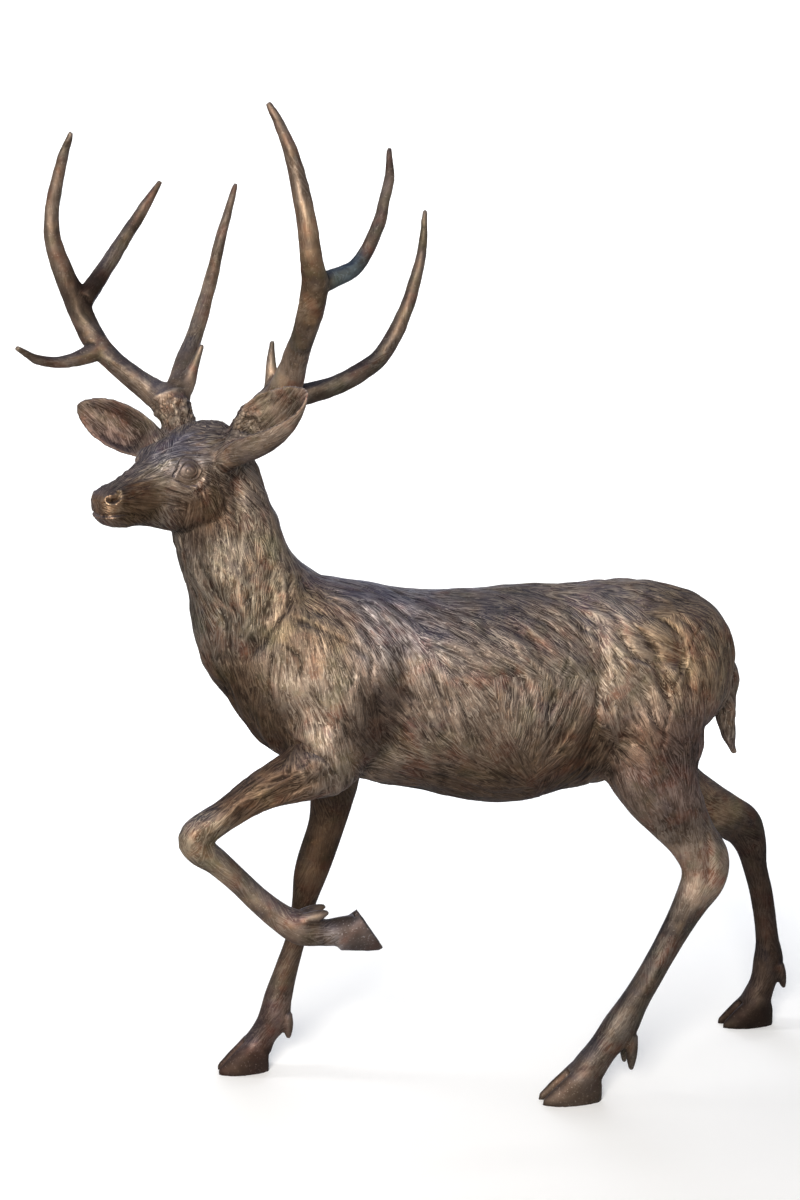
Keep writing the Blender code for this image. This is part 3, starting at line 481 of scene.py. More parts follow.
def run_together(parts):
    """One skin of quads round all the masses."""
    verts = []
    faces = []
    base = 0
    for v, f in parts:
        turn = 1 if volume(v, f) > 0 else -1
        faces += [tuple(i + base for i in q[::turn]) for q in f]
        verts.append(v)
        base += len(v)
    ob = mesh_object("masses", np.vstack(verts), faces)
    mod = ob.modifiers.new("run together", "REMESH")
    mod.mode = "VOXEL"
    mod.voxel_size = GRID
    return finished(ob, 4)


# ------------------------------------------------------------------ working the wax
class Skin:
    """Points, faces and neighbours of the skin, worked in whole arrays."""

    def __init__(self, v, f):
        """Every edge is listed once each way, from a to b, so neighbours can be summed."""
        self.v = v
        self.f = f
        n = f.shape[1]
        e = np.vstack([f[:, [k, (k + 1) % n]] for k in range(n)])
        e = np.sort(e, 1)
        code = np.unique(e[:, 0] * len(v) + e[:, 1])
        e = np.stack([code // len(v), code % len(v)], 1)
        self.a = np.concatenate([e[:, 0], e[:, 1]])
        self.b = np.concatenate([e[:, 1], e[:, 0]])
        self.deg = np.bincount(self.a, minlength=len(v)).astype(float)

    def mean(self, x):
        """Average of the neighbours' values."""
        if x.ndim == 1:
            return np.bincount(self.a, x[self.b], len(self.v)) / self.deg
        return np.stack([np.bincount(self.a, x[self.b, k], len(self.v)) / self.deg
                         for k in range(3)], 1)

    def normals(self):
        """Area-weighted point normals."""
        p = self.v[self.f]
        if self.f.shape[1] == 4:
            n = np.cross(p[:, 2] - p[:, 0], p[:, 3] - p[:, 1])
        else:
            n = np.cross(p[:, 1] - p[:, 0], p[:, 2] - p[:, 0])
        out = np.stack([sum(np.bincount(self.f[:, k], n[:, c], len(self.v))
                            for k in range(self.f.shape[1])) for c in range(3)], 1)
        return out / np.maximum(np.linalg.norm(out, axis=1)[:, None], 1e-12)

    def fill(self, rounds, weight):
        """Wipe wax into hollow joins: points move out along the normal only."""
        for _ in range(rounds):
            n = self.normals()
            s = ((self.mean(self.v) - self.v) * n).sum(1).clip(0.0, None)
            self.v = self.v + n * (s * weight)[:, None] * 0.9

    def smooth(self, rounds, weight, steps=(0.5, -0.53)):
        """Even smoothing that keeps the volume: one pull in, one slightly larger push out."""
        here = np.flatnonzero(weight > 0)
        slot = np.full(len(self.v), -1)
        slot[here] = np.arange(len(here))
        touch = slot[self.a] >= 0
        a = slot[self.a[touch]]
        b = self.b[touch]
        for step in steps * rounds:
            total = np.stack([np.bincount(a, self.v[b, k], len(here)) for k in range(3)], 1)
            mean = total / self.deg[here, None]
            self.v[here] += (mean - self.v[here]) * (step * weight[here])[:, None]

    def push(self, amount):
        """Raise (+) or sink (-) the points along their normals."""
        self.v = self.v + self.normals() * amount[:, None]


def refined(wax, picked):
    """Triangles of the skin, every edge between two picked points cut in half: a triangle with
    three picked corners becomes four, one with two becomes two."""
    f = wax.f
    t = np.vstack([f[:, [0, 1, 2]], f[:, [0, 2, 3]]]) if f.shape[1] == 4 else f
    count = len(wax.v)
    ends = np.stack([t, np.roll(t, -1, 1)], -1)
    cut = picked[ends].all(-1)
    code = ends.min(-1) * count + ends.max(-1)
    codes = np.unique(code[cut])
    middle = count + np.searchsorted(codes, code)
    v = np.vstack([wax.v, (wax.v[codes // count] + wax.v[codes % count]) / 2])
    cuts = cut.sum(1)
    whole, m = t[cuts == 3], middle[cuts == 3]
    out = [t[cuts == 0], np.stack([m[:, 0], m[:, 1], m[:, 2]], 1)]
    out += [np.stack([whole[:, k], m[:, k], m[:, k - 1]], 1) for k in range(3)]
    for k in range(3):
        one = (cuts == 1) & cut[:, k]
        a, b, c, mid = t[one, k], t[one, (k + 1) % 3], t[one, (k + 2) % 3], middle[one, k]
        out += [np.stack([a, mid, c], 1), np.stack([mid, b, c], 1)]
    return Skin(v, np.vstack(out))


def path_distance(p, path):
    """Distance of points to a chain of straight pieces, and how far along it, 0 to 1."""
    path = np.asarray(path, float)
    best = np.full(len(p), 1e9)
    along = np.zeros(len(p))
    pieces = len(path) - 1
    for k, (a, b) in enumerate(zip(path[:-1], path[1:])):
        d = b - a
        t = np.clip(((p - a) @ d) / max(d @ d, 1e-12), 0.0, 1.0)
        r = np.linalg.norm(p - a - t[:, None] * d, axis=1)
        near = r < best
        best[near] = r[near]
        along[near] = (k + t[near]) / pieces
    return best, along


def ramp(x, low, high):
    """0 below low, 1 above high, eased between."""
    t = np.clip((x - low) / (high - low), 0.0, 1.0)
    return t * t * (3 - 2 * t)


def band(v, n, path, width, depth, side=0, above=None, lip=0.0):
    """Lift of a tapered band along a path drawn in side view, on one flank (-1, 1) or both (0);
    a lip raises both shores of a cut."""
    path = np.asarray(path, float)
    out = np.zeros(len(v))
    flat = v[:, [0, 2]]
    reach = (5 if lip else 3) * width
    near = np.flatnonzero(((flat > path.min(0) - reach) & (flat < path.max(0) + reach)).all(1))
    d, along = path_distance(flat[near], path)
    fall = (1 + lip) * np.exp(-(d / width) ** 2) - lip * np.exp(-(d / (2.4 * width)) ** 2)
    length = np.linalg.norm(np.diff(path, axis=0), axis=1).sum()
    fall *= np.clip(np.minimum(along, 1 - along) * length / (3.5 * width) + 0.35, 0.0, 1.0)
    y = v[near, 1]
    facing = sum(np.clip(n[near, 1] * s * 2.2, 0.0, 1.0) * (y * s > -0.01)
                 for s in ((-1, 1) if side == 0 else (side,)))
    out[near] = fall * facing * depth
    if above is not None:
        out *= np.clip((v[:, 2] - above) / 0.05, 0.0, 1.0)
    return out


def dome(v, centre, half, depth):
    """Shift of an oval boss (+) or socket (-) pushed straight out of the side of the head."""
    out = np.array([0.25, math.copysign(1.0, centre[1]), 0.05])
    out /= np.linalg.norm(out)
    p = v - np.array(centre)
    q = np.clip(1.0 - (p[:, 0] / half[0]) ** 2 - (p[:, 2] / half[1]) ** 2, 0.0, 1.0)
    return out * (np.sqrt(q) * q**0.3 * depth * (np.abs(p[:, 1]) < 0.035))[:, None]


def brows(v):
    """Weight of the rubbing down over both brows."""
    h = to_head(v)
    q = np.stack([(h[:, 0] + 0.012) / 0.060, (np.abs(h[:, 1]) - 0.040) / 0.036, (h[:, 2] - 0.028) / 0.034], 1)
    return 1 - ramp(np.linalg.norm(q, axis=1), 0.7, 1.0)


def softness(v):
    """How freely the wax is wiped: 1 on the trunk and thighs, little on horn and hoof."""
    w = np.clip((v[:, 2] - 0.50) / 0.12, 0.15, 1.0)
    h = to_head(v)
    up_here = np.clip((v[:, 2] - 1.16) / 0.05, 0.0, 1.0)
    r = np.linalg.norm(h - np.array([-0.02, 0.0, -0.02]), axis=1)
    w = w * (1 - 0.55 * np.clip((0.24 - r) / 0.10, 0.0, 1.0))
    horn = np.clip((h[:, 2] - 0.05) / 0.03, 0.0, 1.0) * up_here
    leaf = np.clip((np.abs(h[:, 1]) - 0.075) / 0.02, 0, 1) * np.clip((0.16 - h[:, 2]) / 0.03, 0, 1)
    leaf *= (h[:, 0] > -0.135) * up_here
    w *= 1 - 0.85 * np.exp(-((v[:, 0] + 0.335) / 0.060) ** 2 - ((v[:, 2] - 0.985) / 0.090) ** 2)
    for x, y, z, dx, dz, *_ in HOOVES:
        q = v - np.array([x, y, z])
        rise = (q[:, 0] * dz - q[:, 2] * dx) / math.hypot(dx, dz)
        w = np.maximum(w, 0.8 * (np.linalg.norm(q, axis=1) < 0.11) * ramp(rise, 0.020, 0.040))
    return np.maximum(w * (1 - 0.85 * horn), 0.3 * leaf)


# ------------------------------------------------------------------ carving
# muscles and folds in side view: path (x, z), width, depth
MUSCLES = [
    ([(-0.33, 0.94), (-0.30, 0.86), (-0.27, 0.78)], 0.055, 0.010),
    ([(-0.25, 0.76), (-0.24, 0.70)], 0.045, 0.012),
    ([(-0.150, 0.90), (-0.145, 0.80), (-0.175, 0.70), (-0.200, 0.655)], 0.022, -0.010),
    ([(-0.372, 1.06), (-0.376, 0.97), (-0.392, 0.90), (-0.440, 0.86)], 0.016, -0.009),
    ([(-0.300, 0.80), (-0.345, 0.755), (-0.360, 0.71)], 0.018, -0.006),
    ([(0.185, 0.96), (0.215, 0.88), (0.222, 0.78), (0.210, 0.68), (0.235, 0.63)], 0.026, -0.011),
    ([(0.38, 0.86), (0.37, 0.76)], 0.070, 0.012),
    ([(0.310, 0.900), (0.335, 0.83), (0.350, 0.76)], 0.014, -0.006),
    ([(0.372, 0.890), (0.385, 0.82), (0.395, 0.77)], 0.013, -0.005),
    ([(-0.462, 1.05), (-0.435, 0.99), (-0.420, 0.93), (-0.43, 0.88)], 0.018, 0.006),
    ([(-0.424, 1.079), (-0.430, 1.044), (-0.428, 1.000), (-0.430, 0.961), (-0.427, 0.936)], 0.009, 0.004),
    ([(-0.203, 0.808), (-0.198, 0.768), (-0.182, 0.724)], 0.016, -0.007),
    ([(-0.02, 0.88), (0.03, 0.70)], 0.030, 0.003),
    ([(0.07, 0.88), (0.12, 0.70)], 0.030, 0.003),
]
# combed furrows between big locks, in side view: width and depth, then paths (x, z)
FURROWS = [
    (0.0070, -0.0070, [[(0.175, 0.92), (0.225, 0.885), (0.225, 0.825), (0.21, 0.74), (0.255, 0.655)]]),
    (0.0054, -0.0062, [
        [(0.265, 0.895), (0.285, 0.855), (0.33, 0.825), (0.35, 0.76)],
        [(0.29, 0.905), (0.325, 0.875), (0.335, 0.84)],
        [(0.34, 0.92), (0.38, 0.89), (0.39, 0.85), (0.36, 0.79)],
        [(-0.43, 1.13), (-0.43, 1.08), (-0.435, 1.025)],
        [(-0.36, 1.015), (-0.36, 0.95), (-0.385, 0.905), (-0.43, 0.855)],
        [(-0.34, 1.03), (-0.345, 0.965), (-0.365, 0.925)],
        [(-0.25, 0.89), (-0.21, 0.865), (-0.21, 0.815)],
        [(-0.355, 0.725), (-0.33, 0.705), (-0.275, 0.68)],
        [(0.125, 0.825), (0.125, 0.795), (0.11, 0.745)],
    ]),
    (0.0046, -0.0045, [
        [(-0.42, 1.16), (-0.42, 1.13), (-0.425, 1.10)],
        [(-0.495, 1.025), (-0.47, 0.975), (-0.435, 0.94)],
        [(-0.315, 1.01), (-0.335, 0.975), (-0.35, 0.94)],
        [(-0.335, 0.93), (-0.30, 0.915), (-0.25, 0.89)],
        [(-0.38, 0.875), (-0.385, 0.82), (-0.38, 0.76)],
        [(-0.36, 0.89), (-0.33, 0.86), (-0.34, 0.825)],
        [(-0.24, 0.85), (-0.24, 0.83), (-0.25, 0.81)],
        [(-0.185, 0.935), (-0.17, 0.91), (-0.16, 0.875)],
        [(0.08, 0.915), (0.09, 0.885), (0.105, 0.855)],
        [(0.16, 0.905), (0.20, 0.875), (0.21, 0.825)],
        [(0.225, 0.74), (0.235, 0.705), (0.275, 0.66)],
        [(0.35, 0.76), (0.34, 0.715), (0.335, 0.68)],
        [(0.385, 0.925), (0.41, 0.89), (0.395, 0.855)],
        [(0.43, 0.90), (0.415, 0.88), (0.43, 0.85)],
        [(0.39, 0.82), (0.39, 0.80), (0.395, 0.785)],
    ]),
    (0.0044, -0.0034, [
        [(-0.475, 1.075), (-0.45, 1.055), (-0.44, 1.03)],
        [(-0.48, 1.04), (-0.46, 1.01), (-0.435, 0.99)],
        [(-0.50, 1.05), (-0.50, 1.01), (-0.485, 0.955)],
        [(-0.465, 0.95), (-0.455, 0.915), (-0.45, 0.88)],
        [(-0.37, 1.045), (-0.40, 1.02), (-0.425, 0.995)],
        [(-0.36, 1.03), (-0.385, 1.00), (-0.425, 0.96)],
        [(-0.385, 0.95), (-0.41, 0.925), (-0.435, 0.895)],
        [(-0.39, 1.10), (-0.40, 1.085), (-0.415, 1.065)],
        [(-0.365, 1.10), (-0.365, 1.075), (-0.37, 1.055)],
        [(-0.225, 0.925), (-0.215, 0.905), (-0.21, 0.89)],
        [(-0.26, 0.785), (-0.255, 0.76), (-0.24, 0.75)],
        [(-0.175, 0.86), (-0.17, 0.84), (-0.16, 0.815)],
        [(-0.14, 0.94), (-0.12, 0.91), (-0.105, 0.895)],
        [(-0.09, 0.86), (-0.06, 0.84), (-0.03, 0.83)],
        [(0.045, 0.885), (0.055, 0.87), (0.06, 0.86)],
        [(0.08, 0.875), (0.095, 0.855), (0.105, 0.835)],
        [(0.065, 0.83), (0.07, 0.80), (0.075, 0.77)],
        [(0.135, 0.905), (0.16, 0.87), (0.135, 0.815)],
        [(0.21, 0.835), (0.16, 0.785), (0.115, 0.72), (0.10, 0.695)],
        [(0.215, 0.815), (0.165, 0.745), (0.12, 0.675)],
        [(0.21, 0.76), (0.16, 0.705), (0.135, 0.675)],
        [(0.33, 0.88), (0.36, 0.865), (0.375, 0.845)],
        [(0.27, 0.79), (0.29, 0.78), (0.31, 0.76)],
        [(0.255, 0.85), (0.31, 0.84), (0.345, 0.765)],
        [(0.305, 0.75), (0.32, 0.735), (0.33, 0.705)],
    ]),
]


# tendons and hollows of the legs: path, width, depth, flank
TENDONS = [
    ([(0.433, 0.530), (0.441, 0.481), (0.446, 0.444), (0.441, 0.405)], 0.010, -0.0055, -1),
    ([(0.640, 0.480), (0.655, 0.430), (0.662, 0.390)], 0.010, -0.0050, 0),
    ([(0.427, 0.385), (0.370, 0.284), (0.310, 0.192)], 0.009, 0.0022, 0),
    ([(0.404, 0.380), (0.350, 0.284), (0.292, 0.199)], 0.008, -0.0016, 0),
    ([(0.676, 0.395), (0.694, 0.330), (0.712, 0.230)], 0.008, -0.0018, 0),
    ([(-0.298, 0.656), (-0.342, 0.635), (-0.404, 0.609), (-0.457, 0.582)], 0.009, -0.0042, -1),
    ([(-0.316, 0.680), (-0.363, 0.652), (-0.420, 0.626), (-0.475, 0.600)], 0.008, 0.0026, -1),
    ([(-0.475, 0.505), (-0.430, 0.455), (-0.385, 0.412)], 0.007, 0.0018, -1),
    ([(-0.266, 0.483), (-0.272, 0.445), (-0.278, 0.408)], 0.009, -0.0035, 0),
    ([(-0.240, 0.600), (-0.250, 0.520), (-0.262, 0.450)], 0.010, -0.0030, 0),
    ([(-0.432, 1.190), (-0.428, 1.150), (-0.430, 1.105), (-0.444, 1.062)], 0.009, -0.0065, -1),
]
# folds round the eye in the head frame, seen from the side: path (x, z), width, depth
EYE_FOLDS = [
    ([(0.0202, 0.0059), (0.0194, 0.0151), (0.0154, 0.0239), (0.0026, 0.0295), (-0.0125, 0.0286),
      (-0.0266, 0.0207)], 0.0050, 0.0012),
    ([(0.0290, 0.0042), (0.0302, 0.0209), (0.0208, 0.0335), (0.0007, 0.0400)], 0.0032, -0.0012),
    ([(0.0200, -0.0100), (0.0165, -0.0050), (0.0110, 0.0025), (0.0075, 0.0120), (-0.0007, 0.0183),
      (-0.0120, 0.0180), (-0.0237, 0.0136), (-0.0314, 0.0023), (-0.0345, -0.0060)], 0.0025, -0.0027),
    ([(0.0195, -0.0098), (0.0145, -0.0030), (0.0100, 0.0030)], 0.0026, -0.0045),
    ([(0.0090, -0.0010), (0.0035, 0.0085), (-0.0030, 0.0122), (-0.0118, 0.0128), (-0.0215, 0.0090),
      (-0.0280, 0.0005)], 0.0021, 0.0016),
    ([(0.0085, -0.0095), (0.0025, -0.0158), (-0.0050, -0.0190), (-0.0130, -0.0200), (-0.0230, -0.0168),
      (-0.0295, -0.0085), (-0.0325, -0.0020)], 0.0017, 0.0020),
    ([(-0.0225, 0.0050), (-0.0262, -0.0030), (-0.0240, -0.0105), (-0.0180, -0.0155)], 0.0017, -0.0034),
    ([(0.0193, -0.0168), (0.0141, -0.0275), (0.0051, -0.0345), (-0.0052, -0.0370), (-0.0145, -0.0355),
      (-0.0282, -0.0310), (-0.0377, -0.0244), (-0.0447, -0.0160)], 0.0046, 0.0016),
    ([(0.0100, -0.0220), (0.0000, -0.0272), (-0.0140, -0.0282), (-0.0260, -0.0240), (-0.0350, -0.0150)],
     0.0030, -0.0014),
    ([(0.0060, -0.0430), (-0.0100, -0.0462), (-0.0260, -0.0430), (-0.0400, -0.0350), (-0.0504, -0.0264)],
     0.0040, -0.0016),
    ([(0.0200, -0.0095), (0.0300, -0.0128), (0.0439, -0.0193), (0.0561, -0.0229)], 0.0034, -0.0020),
    ([(0.0360, -0.0060), (0.0480, -0.0105), (0.0600, -0.0140)], 0.0050, 0.0012),
    ([(0.0400, -0.0290), (0.0180, -0.0430), (0.0000, -0.0600), (-0.0150, -0.0800)], 0.0080, -0.0036),
    ([(-0.0564, -0.0150), (-0.0700, -0.0350), (-0.0790, -0.0600), (-0.0780, -0.0850)], 0.0060, -0.0034),
]
# the iris: a spiral cut on the eyeball
IRIS = [(-0.0118, 0.0060), (-0.0184, 0.0027), (-0.0196, -0.0034), (-0.0158, -0.0088), (-0.0079, -0.0096),
        (-0.0022, -0.0060), (-0.0033, -0.0006), (-0.0085, 0.0006), (-0.0112, -0.0030)]
# cuts and rims on the muzzle in the head frame: path (x, out, z), width, depth
MUZZLE = [
    ([(0.1415, 0.0210, -0.0372), (0.1385, 0.0245, -0.0386), (0.1320, 0.0272, -0.0384)], 0.0032, -0.0060),
    ([(0.1345, 0.0265, -0.0386), (0.1270, 0.0285, -0.0362), (0.1225, 0.0285, -0.0315)], 0.0042, -0.0105),
    ([(0.1235, 0.0285, -0.0325), (0.1200, 0.0272, -0.0268), (0.1222, 0.0238, -0.0222)], 0.0026, -0.0050),
    ([(0.1300, 0.0240, -0.0300), (0.1374, 0.0205, -0.0290), (0.1425, 0.0171, -0.0330),
      (0.1440, 0.0185, -0.0380), (0.1420, 0.0230, -0.0420), (0.1360, 0.0268, -0.0432)], 0.0022, 0.0018),
    ([(0.1235, 0.0200, -0.0180), (0.1180, 0.0240, -0.0205), (0.1155, 0.0270, -0.0273),
      (0.1180, 0.0290, -0.0350), (0.1270, 0.0295, -0.0420)], 0.0030, 0.0014),
    ([(0.1465, 0.0000, -0.0655), (0.1452, 0.0060, -0.0651), (0.1435, 0.0152, -0.0640),
      (0.1397, 0.0238, -0.0632), (0.1337, 0.0295, -0.0624), (0.1251, 0.0325, -0.0624),
      (0.1153, 0.0335, -0.0634), (0.1037, 0.0340, -0.0657), (0.0923, 0.0345, -0.0692),
      (0.0851, 0.0350, -0.0713), (0.0716, 0.0360, -0.0751), (0.0600, 0.0370, -0.0790)], 0.0026, -0.0046),
    ([(0.1450, 0.0000, -0.0703), (0.1438, 0.0080, -0.0697), (0.1420, 0.0140, -0.0684),
      (0.1364, 0.0235, -0.0674), (0.1293, 0.0295, -0.0665), (0.1200, 0.0325, -0.0664),
      (0.1086, 0.0335, -0.0684)], 0.0028, 0.0020),
    ([(0.1505, 0.0000, -0.0400), (0.1510, 0.0000, -0.0500), (0.1495, 0.0000, -0.0620)], 0.0022, -0.0012),
]
# folds of the ears and the burr of an antler in the head frame, one side only: path, width, depth
LEAF_FOLDS = [
    # right ear
    ([(-0.052, -0.117, 0.033), (-0.046, -0.149, 0.047), (-0.033, -0.175, 0.064), (-0.018, -0.195, 0.076)],
     0.0034, -0.0026),
    ([(-0.046, -0.130, 0.022), (-0.033, -0.161, 0.032), (-0.018, -0.190, 0.051), (-0.006, -0.205, 0.066)],
     0.0038, 0.0022),
    ([(-0.054, -0.099, 0.045), (-0.051, -0.133, 0.064), (-0.037, -0.164, 0.077)], 0.0034, 0.0020),
    ([(-0.036, -0.131, 0.010), (-0.018, -0.160, 0.016), (-0.009, -0.187, 0.034)], 0.0034, -0.0022),
    ([(-0.009, -0.204, 0.078), (-0.016, -0.197, 0.073), (-0.021, -0.192, 0.067)], 0.0026, -0.0050),
    # left ear: two ribs and the cuts beside them, then the cut under the upper rim and the ear hole
    ([(-0.109, 0.105, 0.061), (-0.119, 0.130, 0.092), (-0.126, 0.164, 0.119), (-0.126, 0.201, 0.135)],
     0.0036, 0.0026),
    ([(-0.117, 0.117, 0.059), (-0.129, 0.148, 0.088), (-0.132, 0.185, 0.116), (-0.124, 0.217, 0.132)],
     0.0034, -0.0028),
    ([(-0.108, 0.098, 0.075), (-0.115, 0.119, 0.102), (-0.123, 0.149, 0.122)], 0.0034, -0.0026),
    ([(-0.113, 0.115, 0.100), (-0.120, 0.134, 0.116), (-0.126, 0.159, 0.125)], 0.0034, 0.0022),
    ([(-0.105, 0.095, 0.071), (-0.106, 0.101, 0.096), (-0.113, 0.116, 0.114), (-0.121, 0.143, 0.129)],
     0.0040, -0.0036),
    ([(-0.099, 0.091, 0.059), (-0.106, 0.097, 0.061), (-0.108, 0.107, 0.056)], 0.0050, -0.0070),
    # burr of the right antler
    ([(-0.070, -0.107, 0.094), (-0.081, -0.094, 0.105), (-0.099, -0.087, 0.111), (-0.126, -0.088, 0.111)],
     0.0042, 0.0034),
]


def rim(p, path, width, depth):
    """Lift of a rounded ridge (+) or cut (-) along a path in space."""
    d, along = path_distance(p, path)
    return np.exp(-(d / width) ** 2) * np.clip(np.minimum(along, 1 - along) * 6 + 0.4, 0.0, 1.0) * depth


def carve(wax):
    """Muscles, furrows and tendons, then the face."""
    n = wax.normals()
    lift = sum(band(wax.v, n, path, width, depth, above=0.56) for path, width, depth in MUSCLES)
    for width, depth, paths in FURROWS:
        for path in paths:
            lift += band(wax.v, n, spline(path, 0.012), width, 0.50 * depth, above=0.56, lip=0.18)
    lift += sum(band(wax.v, n, path, width, depth, side) for path, width, depth, side in TENDONS)
    wax.v = wax.v + n * lift[:, None]
    h = to_head(wax.v)
    here = np.flatnonzero(np.linalg.norm(h, axis=1) < 0.22)
    shift = np.zeros((len(here), 3))
    for s in (-1, 1):
        eye = (EYE[0], s * EYE[1], EYE[2])
        shift += dome(h[here], eye, (0.031, 0.027), -0.0042) + dome(h[here], eye, EYE_HALF, 0.0066)
    wax.v[here] += shift @ HEAD.T
    h = to_head(wax.v[here])
    n = wax.normals()[here]
    lift = np.zeros(len(here))
    for s in (-1, 1):
        for path, width, depth in EYE_FOLDS:
            lift += band(h, n @ HEAD, spline(path, 0.003), width, depth, s)
        lift += band(h, n @ HEAD, spline(IRIS, 0.002), 0.0014, -0.0012, s)
        lift += sum(rim(h, np.array(path) * (1, s, 1), width, depth) for path, width, depth in MUZZLE)
    wax.v[here] += n * lift[:, None]
    here = np.flatnonzero(np.linalg.norm(to_head(wax.v), axis=1) < 0.30)
    h = to_head(wax.v[here])
    lift = sum(rim(h, path, width, depth) for path, width, depth in LEAF_FOLDS)
    wax.v[here] += wax.normals()[here] * lift[:, None]


# ------------------------------------------------------------------ the coat
LATTICE = np.random.default_rng(11).standard_normal((64, 64, 64))
# lines that the coat follows in side view, from the roots of the hair on: (x, z)
LAY = {
    "neck, front": [(-0.51, 1.10), (-0.49, 1.03), (-0.47, 0.95), (-0.44, 0.87), (-0.41, 0.80), (-0.38, 0.75)],
    "neck, edge": [(-0.53, 1.02), (-0.51, 0.95), (-0.48, 0.88), (-0.45, 0.81)],
    "neck, middle": [(-0.43, 1.16), (-0.43, 1.09), (-0.42, 1.02), (-0.41, 0.96)],
    "throat, swept forward": [(-0.36, 1.09), (-0.37, 1.04), (-0.40, 0.99), (-0.42, 0.95)],
    "neck, root": [(-0.34, 1.02), (-0.355, 0.95), (-0.385, 0.89), (-0.43, 0.84)],
    "withers to elbow": [(-0.33, 1.00), (-0.29, 0.94), (-0.25, 0.88), (-0.22, 0.80), (-0.20, 0.72)],
    "shoulder": [(-0.36, 0.94), (-0.345, 0.87), (-0.32, 0.81), (-0.28, 0.75), (-0.26, 0.69)],
    "chest": [(-0.385, 0.86), (-0.375, 0.80), (-0.35, 0.74), (-0.33, 0.69)],
    "ribs, front": [(-0.26, 0.99), (-0.19, 0.95), (-0.14, 0.88), (-0.11, 0.80), (-0.07, 0.72), (0.00, 0.66)],
    "ribs, middle": [(-0.14, 0.98), (-0.06, 0.94), (0.01, 0.885), (0.06, 0.82), (0.08, 0.76), (0.09, 0.68)],
    "ribs, low": [(-0.10, 0.87), (-0.03, 0.825), (0.01, 0.76), (0.035, 0.69)],
    "flank": [(0.08, 0.89), (0.13, 0.84), (0.15, 0.78), (0.14, 0.72)],
    "flank fold": [(0.00, 0.985), (0.10, 0.95), (0.17, 0.90), (0.215, 0.83), (0.205, 0.76), (0.165, 0.70),
                   (0.12, 0.66)],
    "belly": [(-0.20, 0.68), (-0.12, 0.65), (-0.02, 0.63), (0.06, 0.615)],
    "haunch": [(0.16, 0.985), (0.26, 0.95), (0.34, 0.91), (0.39, 0.85), (0.41, 0.77), (0.41, 0.68)],
    "thigh": [(0.24, 0.90), (0.28, 0.84), (0.33, 0.77), (0.35, 0.68), (0.36, 0.60)],
    "thigh, front": [(0.235, 0.79), (0.25, 0.73), (0.28, 0.67), (0.33, 0.60), (0.37, 0.53)],
    "thigh, inside": [(0.23, 0.72), (0.22, 0.66), (0.20, 0.61)],
    "thigh, back": [(0.42, 0.66), (0.41, 0.60), (0.41, 0.54)],
    "rump": [(0.34, 0.97), (0.42, 0.925), (0.455, 0.86), (0.46, 0.78), (0.45, 0.70)],
}
# the same on the head, in the head frame: forward, out, up, then the direction
HEAD_LAY = [
    (0.12, 0.02, -0.02, -1.0, 0.1, 0.1),
    (0.06, 0.02, 0.01, -1.0, 0.3, 0.1),
    (0.08, 0.04, -0.06, -1.0, 0.0, -0.2),
    (0.02, 0.02, 0.04, -0.8, 0.6, 0.0),
    (0.03, 0.05, -0.07, -1.0, 0.1, -0.25),
    (-0.03, 0.03, 0.06, -0.7, 0.7, 0.0),
    (-0.02, 0.06, -0.05, -0.9, 0.2, -0.5),
    (-0.06, 0.07, -0.08, -0.8, 0.0, -0.7),
    (-0.05, 0.07, 0.00, -1.0, 0.1, -0.1),
    (-0.08, 0.06, -0.11, -0.7, 0.0, -0.8),
    (-0.09, 0.04, 0.06, -0.8, 0.6, 0.0),
    (-0.11, 0.07, -0.03, -0.8, 0.2, -0.5),
]


def grain(p, size, seed):
    """Smooth random height: eased blend of the eight lattice values round each point, size apart."""
    q = p / size + 19.7 * seed
    i = np.floor(q).astype(np.int64)
    t = q - i
    t = t * t * (3 - 2 * t)
    i %= 64
    j = (i + 1) % 64
    x, y, z = t.T
    a = LATTICE[i[:, 0], i[:, 1], i[:, 2]] * (1 - x) + LATTICE[j[:, 0], i[:, 1], i[:, 2]] * x
    b = LATTICE[i[:, 0], j[:, 1], i[:, 2]] * (1 - x) + LATTICE[j[:, 0], j[:, 1], i[:, 2]] * x
    c = LATTICE[i[:, 0], i[:, 1], j[:, 2]] * (1 - x) + LATTICE[j[:, 0], i[:, 1], j[:, 2]] * x
    d = LATTICE[i[:, 0], j[:, 1], j[:, 2]] * (1 - x) + LATTICE[j[:, 0], j[:, 1], j[:, 2]] * x
    return (a * (1 - y) + b * y) * (1 - z) + (c * (1 - y) + d * y) * z


def streaks(p, lay, size, reach, seed, taps):
    """Grain drawn out along the lay: its windowed mean over a line of that reach, unit spread."""
    total = np.zeros(len(p))
    for s in np.linspace(-0.5, 0.5, taps):
        total += math.cos(math.pi * s * 0.92) * grain(p + lay * (reach * s), size, seed)
    return total / total.std()


